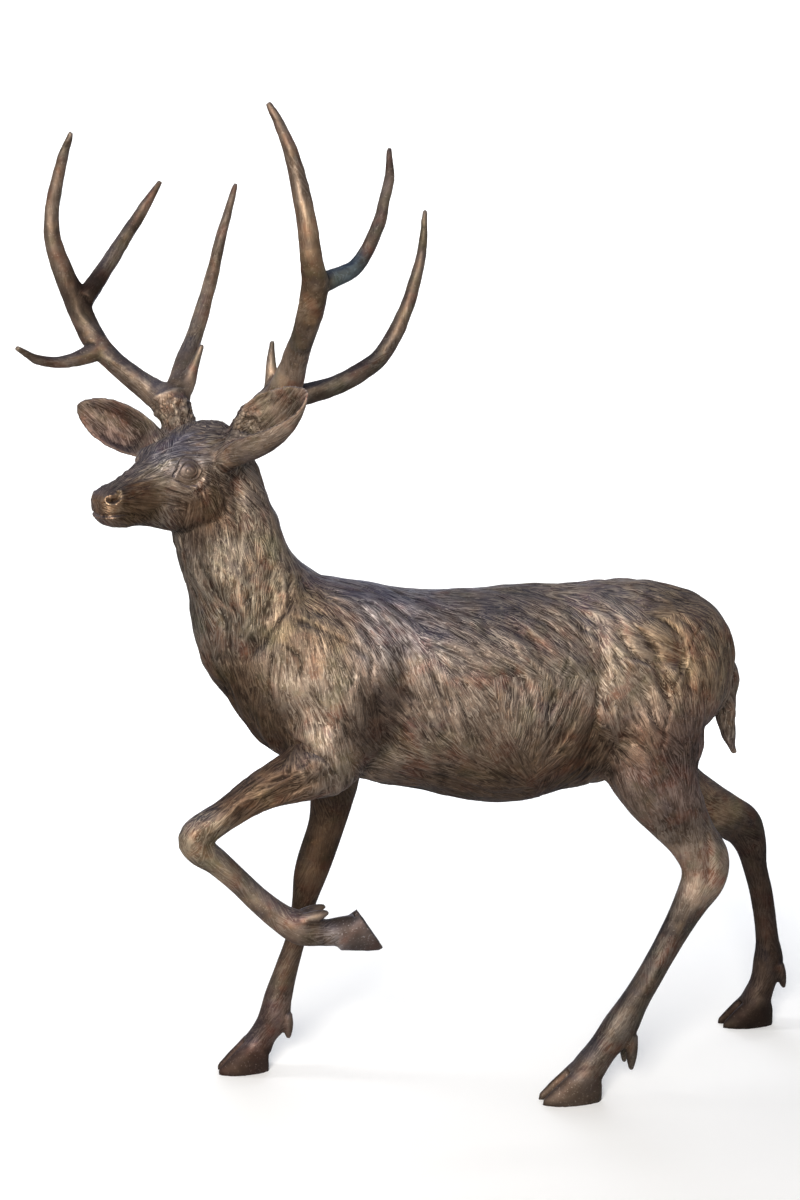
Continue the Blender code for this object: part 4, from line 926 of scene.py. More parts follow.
def guides():
    """Points and directions that say how the coat, horn and leg grain lie."""
    at = []
    way = []
    for path in LAY.values():
        x, z = spline(path, 0.030).T
        run_x, run_z = np.gradient(x), np.gradient(z)
        out = np.where((x < -0.36) & (z > 0.93), 0.06, 0.15)
        for s in (-1, 1):
            at.append(np.column_stack([x, s * out, z]))
            way.append(np.column_stack([run_x, 0 * run_x, run_z]))
    for rows, first in ((NEAR_HIND, 5), (FAR_HIND, 4), (FAR_FORE, 4), (NEAR_FORE, 3), (TAIL, 1)):
        c = spline(rows[first:], 0.025)[:, :3]
        at.append(c)
        way.append(np.gradient(c, axis=0))
    for rows in ANTLERS:
        c = to_body(spline(rows, 0.020)[:, :3])
        at.append(c)
        way.append(np.gradient(c, axis=0))
    for base, tip, *_ in (EAR_NEAR, EAR_FAR):
        c = to_body(np.array(base) + np.linspace(0.15, 1.0, 8)[:, None] * (np.array(tip) - np.array(base)))
        at.append(c)
        way.append(np.gradient(c, axis=0))
    for row in HEAD_LAY:
        for s in (-1, 1):
            at.append(to_body([[row[0], s * row[1], row[2]]]))
            way.append(np.array([[row[3], s * row[4], row[5]]]) @ HEAD.T)
    at = np.vstack(at)
    way = np.vstack(way)
    return at, way / np.linalg.norm(way, axis=1)[:, None]


def comb(p, n):
    """Unit lay of the coat: the guides blended by inverse distance to the fourth, laid on the skin."""
    at, way = guides()
    out = np.empty_like(p)
    size = (at * at).sum(1)
    for k in range(0, len(p), 20000):
        q = p[k:k + 20000]
        d2 = (q * q).sum(1)[:, None] + size - 2 * q @ at.T
        w = 1.0 / (np.maximum(d2, 0.0) + 0.0006) ** 2
        out[k:k + 20000] = w @ way / w.sum(1)[:, None]
    out -= (out * n).sum(1)[:, None] * n
    out /= np.maximum(np.linalg.norm(out, axis=1)[:, None], 1e-9)
    wave = 0.30 * grain(p, 0.070, 3) + 0.18 * grain(p, 0.030, 4)
    across = np.cross(n, out)
    return out * np.cos(wave)[:, None] + across * np.sin(wave)[:, None]


class Locks:
    """Locks of hair: seeds strewn over the skin, each owning the points nearest to it in a
    measure that is long along the lay and short across it."""

    def __init__(self, p, n, lay, count, long, wide, seed):
        """Draw that many points of the skin as the middles of the locks."""
        pick = np.random.default_rng(seed).choice(len(p), count, replace=False)
        self.at = p[pick]
        self.n = n[pick]
        self.along = lay[pick]
        self.across = np.cross(self.n, self.along)
        self.long = long
        self.wide = wide

    def local(self, p, k):
        """Where the points lie in lock k: along, across and out of the skin, in metres."""
        d = p - self.at[k]
        return (d * self.along[k]).sum(-1), (d * self.across[k]).sum(-1), (d * self.n[k]).sum(-1)

    def assign(self, p, n):
        """Nearest lock of each point and how clearly it is nearest, 0 on the border."""
        cell = 0.08
        key = np.floor(p / cell).astype(np.int64)
        code = (key[:, 0] * 1000 + key[:, 1]) * 1000 + key[:, 2]
        order = np.argsort(code, kind="stable")
        edges = np.flatnonzero(np.diff(code[order])) + 1
        best = np.zeros(len(p), np.int64)
        edge = np.ones(len(p))
        for group in np.split(order, edges):
            low = p[group].min(0) - self.long
            high = p[group].max(0) + self.long
            near = np.flatnonzero(((self.at > low) & (self.at < high)).all(1))
            if len(near) < 2:
                continue
            d = p[group][:, None] - self.at[near]
            u = (d * self.along[near]).sum(-1) / self.long
            v = (d * self.across[near]).sum(-1) / self.wide
            w = (d * self.n[near]).sum(-1) / self.wide
            m = u * u + v * v + w * w + 3.0 * (1 - n[group] @ self.n[near].T)
            two = np.argpartition(m, 1, axis=1)[:, :2]
            val = np.take_along_axis(m, two, 1)
            swap = val[:, 0] > val[:, 1]
            two[swap] = two[swap][:, ::-1]
            val = np.sort(val, 1)
            best[group] = near[two[:, 0]]
            edge[group] = np.sqrt(np.maximum(val[:, 1], 0)) - np.sqrt(np.maximum(val[:, 0], 0))
        return best, edge


def regions(p):
    """Shares of each finish: coat, horn, hoof, fine coat of the head, ear leaf, slim legs, pith
    at the antler feet, and muzzle."""
    h = to_head(p)
    horn = np.zeros(len(p))
    pith = np.zeros(len(p))
    for index, rows in enumerate(ANTLERS):
        r = spline(rows, 0.02)
        c = to_body(r[:, :3])
        d, along = path_distance(p, c)
        radius = horn_radius(np.interp(along, np.linspace(0, 1, len(r)), r[:, 3]))
        horn = np.maximum(horn, 1 - ramp(d / radius, 1.15, 1.55))
        if index in (0, 4):
            foot = np.linalg.norm(p - c[0], axis=1)
            pith = np.maximum(pith, (1 - ramp(foot, 0.068, 0.100)) * (1 - ramp(d / radius, 1.25, 1.70)))
    horn *= ramp(h[:, 2], 0.045, 0.075)
    hoof = 1 - ramp(p[:, 2], 0.040, 0.062)
    x, y, z, dx, dz, *_ = HOOVES[3]
    f = np.array([dx, 0.0, dz]) / math.hypot(dx, dz)
    u = np.array([f[2], 0.0, -f[0]])
    rise = (p - np.array([x, y, z])) @ u
    hoof = np.maximum(hoof, (np.linalg.norm(p - np.array([x, y, z]), axis=1) < 0.085)
                      * (1 - ramp(rise, 0.040, 0.060)))
    eye = np.zeros(len(p))
    for s in (-1, 1):
        eye = np.maximum(eye, 1 - ramp(np.linalg.norm(p - to_body((EYE[0], s * EYE[1], EYE[2])), axis=1),
                                       0.017, 0.030))
    headness = (1 - ramp(np.linalg.norm(h - np.array([0.0, 0.0, -0.03]), axis=1), 0.13, 0.20))
    leaf = ramp(np.abs(h[:, 1]), 0.075, 0.10) * (h[:, 2] < 0.19) * (h[:, 0] > -0.16)
    leaf = leaf * ramp(p[:, 2], 1.14, 1.18) * (1 - horn)
    muzzle = ramp(h[:, 0], 0.110, 0.135) * headness
    slim = 1 - ramp(p[:, 2], 0.50, 0.62)
    coat = (1 - horn) * (1 - hoof) * (1 - eye) * (1 - muzzle)
    return dict(coat=coat * (1 - headness) * (1 - leaf) * (1 - slim), horn=horn, hoof=hoof,
                head=headness * coat * (1 - leaf), leaf=leaf, slim=slim * (1 - hoof), pith=pith,
                muzzle=muzzle)


# the coat, in metres
LOCKS = 1900                            # how many
LOCK_LONG, LOCK_WIDE = 0.062, 0.0115
PARTING = 0.0009                        # depth between two locks
TILT = 0.0040                           # rise along a lock, for each metre along it
TUFT, STRAND, SWELL = 0.0012, 0.0006, 0.0012    # heights: combed tufts, strands, soft swells
BROW_HAIR = 0.0007                      # short hair of the head
BARK, GRIT = 0.0016, 0.0014             # at the antler feet
FLUTE = 0.00045                         # along the horn
TOOTH = 0.0003                          # grain of horn and hoof


def coat(wax):
    """Comb locks and strands into the wax; returns the locks for the finish."""
    p = wax.v
    n = wax.normals()
    lay = comb(p, n)
    part = regions(p)
    locks = Locks(p, n, lay, LOCKS, LOCK_LONG, LOCK_WIDE, 5)
    best, edge = locks.assign(p, n)
    u, _, _ = locks.local(p, best)
    body = part["coat"]
    fine = 0.45 * part["head"] + 0.12 * part["leaf"] + 0.22 * part["slim"]
    force = np.clip(0.9 + 0.45 * grain(p, 0.11, 8), 0.25, 1.7)
    parting = ramp(grain(p, 0.035, 9), -0.3, 1.1)
    lift = -PARTING * np.exp(-(edge / 0.25) ** 2) * body * force * (0.25 + 0.75 * parting)
    lift += TILT * np.clip(u, -0.05, 0.05) * body * force
    lift += TUFT * streaks(p, lay, 0.018, 0.080, 32, 9) * (body * force + 0.35 * fine)
    lift += STRAND * streaks(p, lay, 0.0085, 0.060, 31, 13) * (body * force + 0.6 * fine)
    lift += SWELL * grain(p, 0.045, 33) * body
    lift += BROW_HAIR * streaks(p, lay, 0.0048, 0.030, 34, 9) * part["head"]
    # pith of the antlers: rough bark; tines: long shallow flutes
    lift += part["pith"] * part["horn"] * (BARK * streaks(p, lay, 0.009, 0.026, 41, 7)
                                           + GRIT * grain(p, 0.007, 42))
    lift += FLUTE * streaks(p, lay, 0.009, 0.090, 43, 11) * part["horn"]
    lift += TOOTH * grain(p, 0.012, 44) * (part["horn"] + part["hoof"])
    wax.push(lift)
    return locks


def facet(wax):
    """Triangles to the budget, most of them kept on the head; the three standing soles dressed flat."""
    ob = mesh_object("facets", wax.v, wax.f)
    group = ob.vertex_groups.new(name="plain")      # how freely a point may go
    h = to_head(wax.v)
    reach = np.linalg.norm((h - np.array([0.03, 0.0, -0.03])) * np.array([1.0, 1.2, 1.2]), axis=1)
    fine = 1 - ramp(reach, 0.13, 0.17)
    levels = np.round(fine * 8) / 8
    for w in np.unique(levels):
        group.add(np.flatnonzero(levels == w).tolist(), 1.0 - 0.085 * float(w), "REPLACE")
    dec = ob.modifiers.new("facets", "DECIMATE")
    dec.ratio = FACETS / len(wax.f)
    dec.vertex_group = "plain"
    dec.vertex_group_factor = 1.2
    v, f = finished(ob, 3)
    # two faces left back to back on the same three points are stray, and so are their points
    _, same, count = np.unique(np.sort(f, 1), axis=0, return_inverse=True, return_counts=True)
    used, f = np.unique(f[count[same.ravel()] == 1], return_inverse=True)
    v = v[used]
    v[v[:, 2] < SOLE, 2] = 0.0
    return Skin(v, f.reshape(-1, 3))


def hollowness(wax, rounds):
    """How far the skin lies below its own smoothed self, in metres: + in hollows, - on ridges."""
    v = wax.v
    for _ in range(rounds):
        v = v + (wax.mean(v) - v) * 0.7
    return ((v - wax.v) * wax.normals()).sum(1)


def local_part(wax, x, rounds):
    """What is left of a value after its own average over the neighbourhood is taken off."""
    broad = x
    for _ in range(rounds):
        broad = wax.mean(broad)
    return x - broad


def float_layer(me, name, values):
    """Store one number for each point."""
    made = me.attributes.new(name, "FLOAT", "POINT")
    made.data.foreach_set("value", np.ascontiguousarray(values, np.float32))


PLAIN = "#8a7666"
# tones of the patina and of painted shade and painted light, from dark to pale
TONES = {"soot": "#48382e", "umber": "#5e4836", "slate_and_sky_sheen": "#5b6a6e", "bark": "#6c5e52", "walnut": "#745a46",
         "earth": "#776055", "plain": PLAIN, "fawn": "#957a60", "ash": "#958680", "buff": "#a08a72",
         "horn": "#aa927e"}
# where each tone lies: middle (x, y, z), reach, both sides or one, tone; the tones stand for the lit colour,
# so besides patina they carry painted shade where shade falls (throat under the jaw, shoulder fold, elbow,
# thigh hollow, belly, groin) and painted light and sky reflection on the back, croup and shoulder
PATINA_SHADE_AND_LIGHT = {
    "back": (-0.12, -0.09, 0.955, 0.090, 1, "ash"),
    "croup": (0.24, -0.09, 0.945, 0.065, 1, "horn"),
    "ribs": (-0.01, -0.15, 0.83, 0.130, 1, "plain"),
    # painted shade on the underside
    "belly": (0.02, -0.12, 0.62, 0.100, 1, "umber"),
    "groin": (0.18, -0.14, 0.68, 0.050, 1, "umber"),
    "shoulder blade": (-0.30, -0.13, 0.93, 0.050, 1, "fawn"),
    "shoulder fold": (-0.33, -0.13, 0.87, 0.028, 1, "soot"),
    "shoulder": (-0.31, -0.14, 0.81, 0.055, 1, "horn"),
    "elbow": (-0.19, -0.14, 0.77, 0.050, 1, "soot"),
    "chest": (-0.41, -0.07, 0.76, 0.065, 1, "umber"),
    "neck, front": (-0.50, -0.05, 0.98, 0.070, 1, "bark"),
    "neck, side": (-0.42, -0.08, 1.02, 0.050, 1, "buff"),
    # painted shadow under the jaw
    "throat": (-0.50, -0.04, 1.07, 0.025, 1, "soot"),
    "haunch, front": (0.27, -0.15, 0.81, 0.055, 1, "horn"),
    "haunch": (0.38, -0.15, 0.86, 0.080, 1, "fawn"),
    "thigh": (0.37, -0.17, 0.68, 0.070, 1, "earth"),
    "thigh hollow": (0.31, -0.16, 0.70, 0.035, 1, "walnut"),
    "hock": (0.43, -0.15, 0.43, 0.035, 0, "horn"),
    "hind cannon": (0.32, -0.14, 0.23, 0.100, 0, "bark"),
    "forearm": (-0.41, -0.15, 0.63, 0.050, 0, "walnut"),
    "knee": (-0.49, -0.15, 0.54, 0.035, 0, "buff"),
    "fore cannon": (-0.38, -0.15, 0.43, 0.035, 0, "horn"),
    "raised hoof": (-0.23, -0.15, 0.36, 0.035, 0, "ash"),
    "far hock": (0.58, 0.08, 0.51, 0.035, 0, "fawn"),
    "far hind leg": (0.69, 0.10, 0.27, 0.110, 0, "soot"),
    "far hind hoof": (0.68, 0.10, 0.06, 0.050, 0, "soot"),
    "far fore leg": (-0.28, 0.09, 0.42, 0.120, 0, "umber"),
    "far fore hoof": (-0.40, 0.11, 0.06, 0.060, 0, "earth"),
    "cheek": (-0.49, -0.06, 1.12, 0.030, 1, "walnut"),
    "muzzle": (-0.60, -0.11, 1.13, 0.024, 1, "umber"),
    "nose": (-0.66, -0.14, 1.14, 0.016, 1, "fawn"),
    "brow": (-0.53, -0.07, 1.22, 0.025, 1, "ash"),
    "under the eye": (-0.51, -0.08, 1.17, 0.018, 1, "horn"),
    "near ear": (-0.23, -0.07, 1.35, 0.050, 0, "bark"),
    "far ear": (-0.64, 0.10, 1.27, 0.030, 0, "earth"),
    "near antler, foot": (-0.37, -0.12, 1.33, 0.040, 0, "horn"),
    "near antler": (-0.34, -0.30, 1.50, 0.050, 0, "fawn"),
    "near antler, fork": (-0.29, -0.26, 1.51, 0.030, 0, "slate_and_sky_sheen"),
    "far antler, foot": (-0.53, 0.07, 1.33, 0.030, 0, "horn"),
    "far antler": (-0.48, 0.21, 1.53, 0.050, 0, "buff"),
    "far antler, brow tine": (-0.67, 0.15, 1.52, 0.030, 0, "soot"),
}


def patina_shade_and_light_tint(p):
    """Tint of the patina, with its painted shade and painted light, against the plain colour: the listed
    ones blended by nearness, falling off with the squared distance over the reach."""
    total = np.full((len(p), 3), 0.02)
    weight = np.full(len(p), 0.02)
    for x, y, z, reach, both, tone in PATINA_SHADE_AND_LIGHT.values():
        tint = np.array(linear(TONES[tone])[:3]) / np.array(linear(PLAIN)[:3])
        for s in (1, -1)[:1 + both]:
            w = np.exp(-((p - np.array([x, s * y, z])) ** 2).sum(1) / reach**2)
            total += w[:, None] * tint
            weight += w
    return total / weight[:, None]


def face_near(v):
    """Points of the face that are cut finer: round the eyes and on the muzzle."""
    h = to_head(v)
    out = (h[:, 0] > 0.100) & (h[:, 0] < 0.17) & (np.abs(h[:, 1]) < 0.05) & (np.abs(h[:, 2] + 0.05) < 0.05)
    for s in (-1, 1):
        eye = np.array([EYE[0], s * EYE[1], EYE[2] - 0.004])
        out |= np.linalg.norm((h - eye) * (1, 0.7, 1), axis=1) < 0.036
    return out


def leaves(v):
    """Weight over the two ear leaves, whose thin rims want evening out."""
    h = to_head(v)
    return ramp(np.abs(h[:, 1]), 0.085, 0.105) * (h[:, 2] < 0.155) * (v[:, 2] > 1.14)


def casting():
    """The whole figure as one closed mesh with its finish layers."""
    v, f = run_together(masses())
    wax = Skin(v, f)
    wax.fill(52, softness(wax.v))
    wax.smooth(7, softness(wax.v))
    wax.smooth(90, brows(wax.v), (0.5,))
    wax.smooth(14, leaves(wax.v))
    wax = refined(wax, face_near(wax.v))
    wax.smooth(3, face_near(wax.v) * 1.0)
    carve(wax)
    wax.smooth(2, 1.0 - 0.8 * face_near(wax.v))
    locks = coat(wax)
    wax = facet(wax)
    me = bpy.data.meshes.new("deer_casting")
    me.from_pydata((wax.v + SHIFT).tolist(), [], wax.f.tolist())
    me.update()
    me.shade_smooth()
    part = regions(wax.v)
    for name in ("horn", "hoof", "head", "leaf", "slim", "pith", "muzzle"):
        float_layer(me, name, part[name])
    float_layer(me, "coat", part["coat"] + 1.25 * part["head"] + 0.7 * part["leaf"] + 0.28 * part["slim"]
                + 0.4 * part["muzzle"])
    float_layer(me, "fine_hollow", local_part(wax, hollowness(wax, 3), 30) * 1000)
    float_layer(me, "broad_hollow", hollowness(wax, 40) * 1000)
    tint = np.column_stack([patina_shade_and_light_tint(wax.v), np.ones(len(wax.v))]).astype(np.float32)
    # the patina layer holds painted shade and painted light as well as the patina
    me.attributes.new("patina", "FLOAT_COLOR", "POINT").data.foreach_set("color", tint.ravel())
    p = wax.v[wax.f]
    n = np.cross(p[:, 1] - p[:, 0], p[:, 2] - p[:, 0])
    n /= np.maximum(np.linalg.norm(n, axis=1)[:, None], 1e-12)
    best, _ = locks.assign(p.mean(1), n)
    u, w, _ = locks.local(p.reshape(-1, 3), np.repeat(best, 3))
    lock = np.column_stack([u, w, np.repeat(best / len(locks.at), 3)]).astype(np.float32)
    me.attributes.new("lock", "FLOAT_VECTOR", "CORNER").data.foreach_set("vector", lock.ravel())
    ob = bpy.data.objects.new("deer_casting", me)
    bpy.context.scene.collection.objects.link(ob)
    return ob


# ------------------------------------------------------------------ finishes
def linear(code):
    """sRGB hex to linear RGBA."""
    c = np.array([int(code[k:k + 2], 16) for k in (1, 3, 5)]) / 255
    c = np.where(c <= 0.04045, c / 12.92, ((c + 0.055) / 1.055) ** 2.4)
    return (*c.tolist(), 1.0)


def add(tree, kind, links=None, **settings):
    """Add a node, set its properties, and give its sockets values or links."""
    made = tree.nodes.new(kind)
    for key, value in settings.items():
        setattr(made, key, value)
    for key, value in (links or {}).items():
        if isinstance(value, bpy.types.NodeSocket):
            tree.links.new(value, made.inputs[key])
        else:
            made.inputs[key].default_value = value
    return made


def material(name):
    """New material with an empty tree but for its shader and output."""
    mat = bpy.data.materials.new(name)
    mat.use_nodes = True
    return mat, mat.node_tree, mat.node_tree.nodes["Principled BSDF"]


# patina colours; the blue-grey also serves as a painted sky reflection and the rubbed tan as a painted
# highlight
BROWN_DARK = "#4e3f33"
BROWN_MID = "#8a7666"
IRON_RED = "#7d4a36"
OLIVE = "#6f6a4e"
SLATE_AND_SKY_SHEEN = "#4d4c5a"
NEAR_BLACK = "#1d1611"
# pale tan of rubbed metal, also used as a painted highlight on hair strands and ridges
RUBBED_AND_HIGHLIGHT = "#c9b8a6"
TAN = "#a5876a"
STRAND_WIDE = 0.0048    # metres between hairs that show from a step away
STRAND_FINE = 0.0044    # metres between the finest cut hairs
WAXED, DRY = 0.54, 0.68  # roughness where the wax lies and where it has gone


def brown_bronze():
    """Lost-wax bronze with a brown chemical patina, waxed.  The acid leaves the hollows near
    black, and handling rubs the hair ridges to a pale tan that also serves as a painted highlight on the
    hair strands.  Patches of iron red, blue-grey and olive show where the solution dried unevenly, and
    the blue-grey laid on upward faces is a painted sky reflection."""
    mat, t, shader = material("brown_patina_bronze")
    obj = add(t, "ShaderNodeTexCoord").outputs["Object"]
    normal = add(t, "ShaderNodeNewGeometry").outputs["Normal"]
    up = add(t, "ShaderNodeSeparateXYZ", {0: normal}).outputs["Z"]

    def layer(name, socket="Fac"):
        """A finish layer stored on the mesh."""
        return add(t, "ShaderNodeAttribute", attribute_name=name).outputs[socket]

    def math_(op, a, b=0.0):
        """One sum on two values."""
        return add(t, "ShaderNodeMath", {0: a, 1: b}, operation=op).outputs[0]

    def span(x, low, high, to_low=0.0, to_high=1.0):
        """The value moved from one range to another and held inside it."""
        return add(t, "ShaderNodeMapRange", {"Value": x, "From Min": low, "From Max": high,
                                             "To Min": to_low, "To Max": to_high}).outputs["Result"]

    def mix(fac, a, b, blend="MIX"):
        """Colour a with that share of colour b over it."""
        return add(t, "ShaderNodeMix", {0: fac, 6: a, 7: b}, data_type="RGBA", blend_type=blend).outputs[2]

    def blot(size, low, high, seed=0.0):
        """Soft patches about that many metres across, 0 to 1."""
        n = add(t, "ShaderNodeTexNoise", {"Vector": obj, "W": seed, "Scale": 0.5 / size, "Detail": 3.0,
                                          "Roughness": 0.55}, noise_dimensions="4D")
        return span(n.outputs["Fac"], low, high)

    # strands of hair inside each lock: stretched noise on the lock's own along and across
    lock = add(t, "ShaderNodeAttribute", attribute_name="lock").outputs["Vector"]
    axes = add(t, "ShaderNodeSeparateXYZ", {0: lock})
    stray = add(t, "ShaderNodeTexNoise", {"Vector": obj, "Scale": 60.0}).outputs["Fac"]
    warp = math_("MULTIPLY_ADD", stray, 0.0030)
    warp.node.inputs[2].default_value = -0.0015
    closer = math_("MULTIPLY_ADD", math_("MAXIMUM", layer("head"), layer("leaf")), 0.5)
    closer.node.inputs[2].default_value = 1.0
    across = math_("MULTIPLY", math_("ADD", axes.outputs["Y"], warp), closer)

    def strand(width, long, seed):
        """Hair strands that wide and long, in metres, 0 to 1 about a half."""
        at = add(t, "ShaderNodeCombineXYZ", {0: math_("MULTIPLY", axes.outputs["X"], 1 / long),
                                             1: math_("MULTIPLY", across, 1 / width),
                                             2: math_("MULTIPLY_ADD", axes.outputs["Z"], 91.0)})
        at.inputs[2].links[0].from_node.inputs[2].default_value = seed
        return add(t, "ShaderNodeTexNoise", {"Vector": at.outputs[0], "Scale": 1.0, "Detail": 1.0,
                                             "Roughness": 0.4}).outputs["Fac"]

    wide_hair = strand(STRAND_WIDE, 0.045, 0.0)
    fine_hair = strand(STRAND_FINE, 0.032, 7.0)
    coat_here = layer("coat")
    hollow = layer("fine_hollow")
    broad = layer("broad_hollow")

    # colour: brown ground, hue patches, painted sky reflection on upward faces, black hollows, rubbed ridges
    # with painted highlight
    ground = mix(blot(0.028, 0.34, 0.66), linear(BROWN_DARK), linear(BROWN_MID))
    ground = mix(math_("MULTIPLY", blot(0.022, 0.50, 0.70, seed=3.0), 0.60), ground, linear(IRON_RED))
    ground = mix(math_("MULTIPLY", blot(0.026, 0.52, 0.72, seed=8.0), 0.55), ground, linear(OLIVE))
    ground = mix(math_("MULTIPLY", blot(0.016, 0.54, 0.74, seed=12.0), 0.45), ground, linear(TAN))
    # painted sky reflection: blue-grey laid on upward faces and on the top of the nose; the loose patches
    # from the second blot are patina
    slate_and_sky_sheen = math_("MULTIPLY", span(up, 0.10, 0.70), blot(0.035, 0.28, 0.55, seed=5.0))
    slate_and_sky_sheen = math_("MAXIMUM", slate_and_sky_sheen, math_("MULTIPLY", blot(0.030, 0.56, 0.70, seed=15.0), 0.5))
    muzzle = layer("muzzle")
    ground = mix(math_("MULTIPLY", muzzle, 0.15), ground, linear(IRON_RED))
    slate_and_sky_sheen = math_("MAXIMUM", slate_and_sky_sheen, math_("MULTIPLY", muzzle, span(up, 0.10, 0.50)))
    ground = mix(math_("MULTIPLY", slate_and_sky_sheen, 0.70), ground, linear(SLATE_AND_SKY_SHEEN))
    sunk = math_("MAXIMUM", span(hollow, 0.10, 0.90), span(broad, 1.5, 6.0))
    sunk = math_("MULTIPLY", sunk, span(layer("slim"), 0.0, 1.0, 1.0, 0.55))
    crazed = add(t, "ShaderNodeTexVoronoi", {"Vector": obj, "Scale": 115.0}, feature="DISTANCE_TO_EDGE")
    crack = math_("MULTIPLY", span(crazed.outputs["Distance"], 0.26, 0.05), layer("pith"))
    sunk = math_("MAXIMUM", sunk, crack)
    ground = mix(math_("MULTIPLY", sunk, 0.55), ground, linear(NEAR_BLACK))
    # painted highlight: pale tan on the hair strands and ridges copies glints of light, on top of rubbed wear
    # of the ridges and the muzzle
    line = span(math_("ABSOLUTE", math_("SUBTRACT", fine_hair, 0.5)), 0.100, 0.030)
    hair = math_("MULTIPLY", line, span(wide_hair, 0.40, 0.56, 0.25, 1.0))
    rub_and_highlight = math_("MULTIPLY", hair, math_("MULTIPLY", coat_here, blot(0.024, 0.15, 0.62, seed=2.0)))
    ridge_rub_and_highlight = math_("MULTIPLY", span(hollow, -0.20, -1.00), span(muzzle, 0.0, 1.0, 0.22, 0.85))
    rub_and_highlight = math_("MAXIMUM", math_("MULTIPLY", rub_and_highlight, 0.50), ridge_rub_and_highlight)
    gap = math_("MULTIPLY", span(wide_hair, 0.50, 0.36), span(line, 0.5, 0.0))
    ground = mix(math_("MULTIPLY", math_("MULTIPLY", gap, coat_here), 0.45), ground, linear(NEAR_BLACK))
    ground = mix(rub_and_highlight, ground, linear(RUBBED_AND_HIGHLIGHT))
    ground = mix(math_("MULTIPLY", layer("hoof"), 0.75), ground, linear(BROWN_DARK))
    # horn and leg grain: long pale scratches on a smooth brown
    wear = math_("MULTIPLY", line, blot(0.030, 0.40, 0.65, seed=6.0))
    wear = math_("MULTIPLY", wear, math_("MAXIMUM", layer("horn"), layer("slim")))
    ground = mix(math_("MULTIPLY", wear, 0.22), ground, linear(RUBBED_AND_HIGHLIGHT))
    speck = add(t, "ShaderNodeTexNoise", {"Vector": obj, "Scale": 260.0, "Detail": 2.0}).outputs["Fac"]
    ground = mix(math_("MULTIPLY", span(speck, 0.60, 0.75), 0.30), ground, linear(RUBBED_AND_HIGHLIGHT))
    # multiplied in: the patina tint with its painted shade and painted light
    ground = mix(1.0, ground, layer("patina", "Color"), "MULTIPLY")
    t.links.new(ground, shader.inputs["Base Color"])
    shader.inputs["Metallic"].default_value = 0.85

    gloss = span(blot(0.025, 0.3, 0.7, seed=9.0), 0.0, 1.0, WAXED, DRY)
    gloss = math_("ADD", gloss, math_("MULTIPLY", sunk, 0.12))
    gloss = math_("MULTIPLY", gloss, span(muzzle, 0.0, 1.0, 1.0, 0.70))
    t.links.new(gloss, shader.inputs["Roughness"])

    # height in metres: strands, pits
    hair_high = math_("MULTIPLY", math_("ADD", math_("MULTIPLY", wide_hair, 0.0008),
                                        math_("MULTIPLY", line, 0.0005)),
                      math_("ADD", math_("MULTIPLY", coat_here, 0.90), 0.10))
    pits = add(t, "ShaderNodeTexNoise", {"Vector": obj, "Scale": 140.0, "Detail": 3.0}).outputs["Fac"]
    high = math_("ADD", hair_high, math_("MULTIPLY", pits, 0.0004))
    high = math_("SUBTRACT", high, math_("MULTIPLY", crack, 0.0012))
    bump = add(t, "ShaderNodeBump", {"Height": high, "Distance": 1.0, "Strength": 0.9})
    t.links.new(bump.outputs["Normal"], shader.inputs["Normal"])
    return mat


# ------------------------------------------------------------------ studio
# name, place, aim, size, watts, colour
SOFTBOXES = [
    ("key", (-1.9, -3.9, 2.3), (0.0, 0.0, 0.85), (2.0, 1.6), 260.0, "#fffaf2"),
    ("fill behind", (0.6, 4.2, 1.5), (0.0, 0.0, 0.85), (2.4, 1.8), 45.0, "#dfe8ff"),
    ("back wall left", (-3.5, 2.0, 4.0), (-2.0, 7.0, 1.5), (3.0, 3.0), 260.0, "#ffffff"),
    ("back wall right", (3.5, 2.0, 4.0), (3.0, 7.0, 1.5), (3.0, 3.0), 260.0, "#ffffff"),
]
FLOOR, BACKDROP, COVE, WALL_TOP = 9.0, 7.5, 2.5, 8.0     # half width, wall, radius of the bend, height
VIEW_FROM = (-0.6878, -2.4484, 1.2100)      # before SHIFT
VIEW_DOWN, VIEW_TURN = 5.921, 13.0          # degrees below level, and clockwise from +Y
LENS = 40.5                                 # mm on a 36 mm sensor
WORLD_LIGHT = 0.38


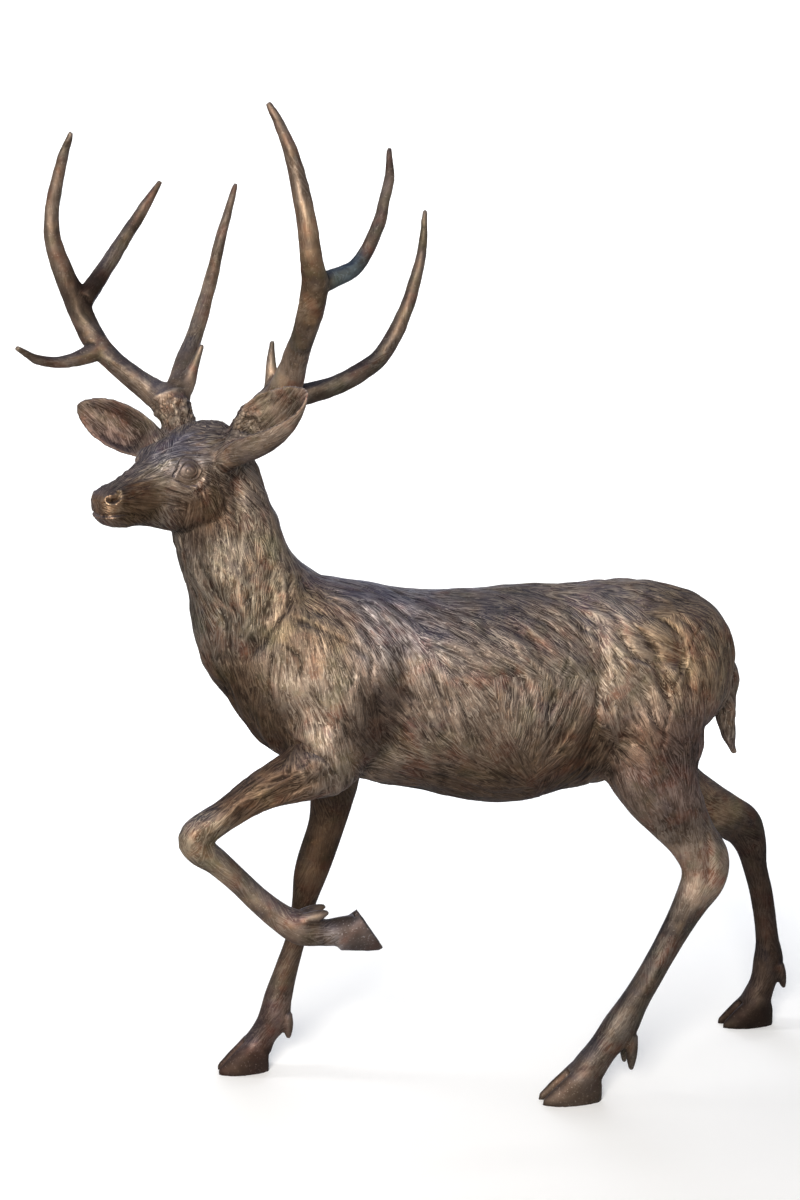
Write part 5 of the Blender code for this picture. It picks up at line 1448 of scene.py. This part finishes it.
def studio():
    """Pale floor that curves up into a backdrop, soft lights, and the view across the left flank."""
    x = np.linspace(-FLOOR, FLOOR, 3)
    bend = np.linspace(0.0, math.pi / 2, 13)
    y = np.concatenate([[-FLOOR], BACKDROP - COVE + COVE * np.sin(bend), [BACKDROP]])
    z = np.concatenate([[0.0], COVE - COVE * np.cos(bend), [WALL_TOP]])
    v = np.stack(np.broadcast_arrays(x[None, :], y[:, None], z[:, None]), -1).reshape(-1, 3)
    i = (np.arange(len(y) - 1)[:, None] * 3 + np.arange(2)).ravel()
    floor = mesh_object("floor", v, np.stack([i, i + 1, i + 4, i + 3], 1))
    floor.data.shade_smooth()
    mat, _, shader = material("white_paper")
    shader.inputs["Base Color"].default_value = linear("#f6f5f3")
    shader.inputs["Roughness"].default_value = 0.9
    shader.inputs["Specular IOR Level"].default_value = 0.1
    shader.inputs["Emission Color"].default_value = linear("#ffffff")
    shader.inputs["Emission Strength"].default_value = 0.10
    floor.data.materials.append(mat)
    floor.visible_glossy = False

    world = bpy.data.worlds.new("studio")
    world.use_nodes = True
    bpy.context.scene.world = world
    back = world.node_tree.nodes["Background"]
    back.inputs["Color"].default_value = linear("#d3dcec")
    back.inputs["Strength"].default_value = WORLD_LIGHT

    for name, at, aim, size, power, colour in SOFTBOXES:
        lamp = bpy.data.lights.new(name, "AREA")
        lamp.shape = "RECTANGLE"
        lamp.size, lamp.size_y = size
        lamp.energy = power
        lamp.color = linear(colour)[:3]
        ob = bpy.data.objects.new(name, lamp)
        bpy.context.scene.collection.objects.link(ob)
        ob.visible_camera = False
        ob.location = at
        d = np.array(aim) - np.array(at)
        ob.rotation_euler = (math.atan2(math.hypot(d[0], d[1]), -d[2]), 0.0, math.atan2(-d[0], d[1]))

    lens = bpy.data.cameras.new("view")
    lens.lens = LENS
    lens.sensor_width = 36.0
    lens.clip_end = 60.0
    camera = bpy.data.objects.new("view", lens)
    bpy.context.scene.collection.objects.link(camera)
    camera.location = np.array(VIEW_FROM) + SHIFT
    camera.rotation_euler = (math.radians(90.0 - VIEW_DOWN), 0.0, math.radians(-VIEW_TURN))
    bpy.context.scene.camera = camera
    bpy.context.scene.view_settings.view_transform = "Standard"


# ------------------------------------------------------------------ put together
deer = casting()
deer.data.materials.append(brown_bronze())
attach(deer, "root")
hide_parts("deer")
studio()

bpy.context.view_layer.update()
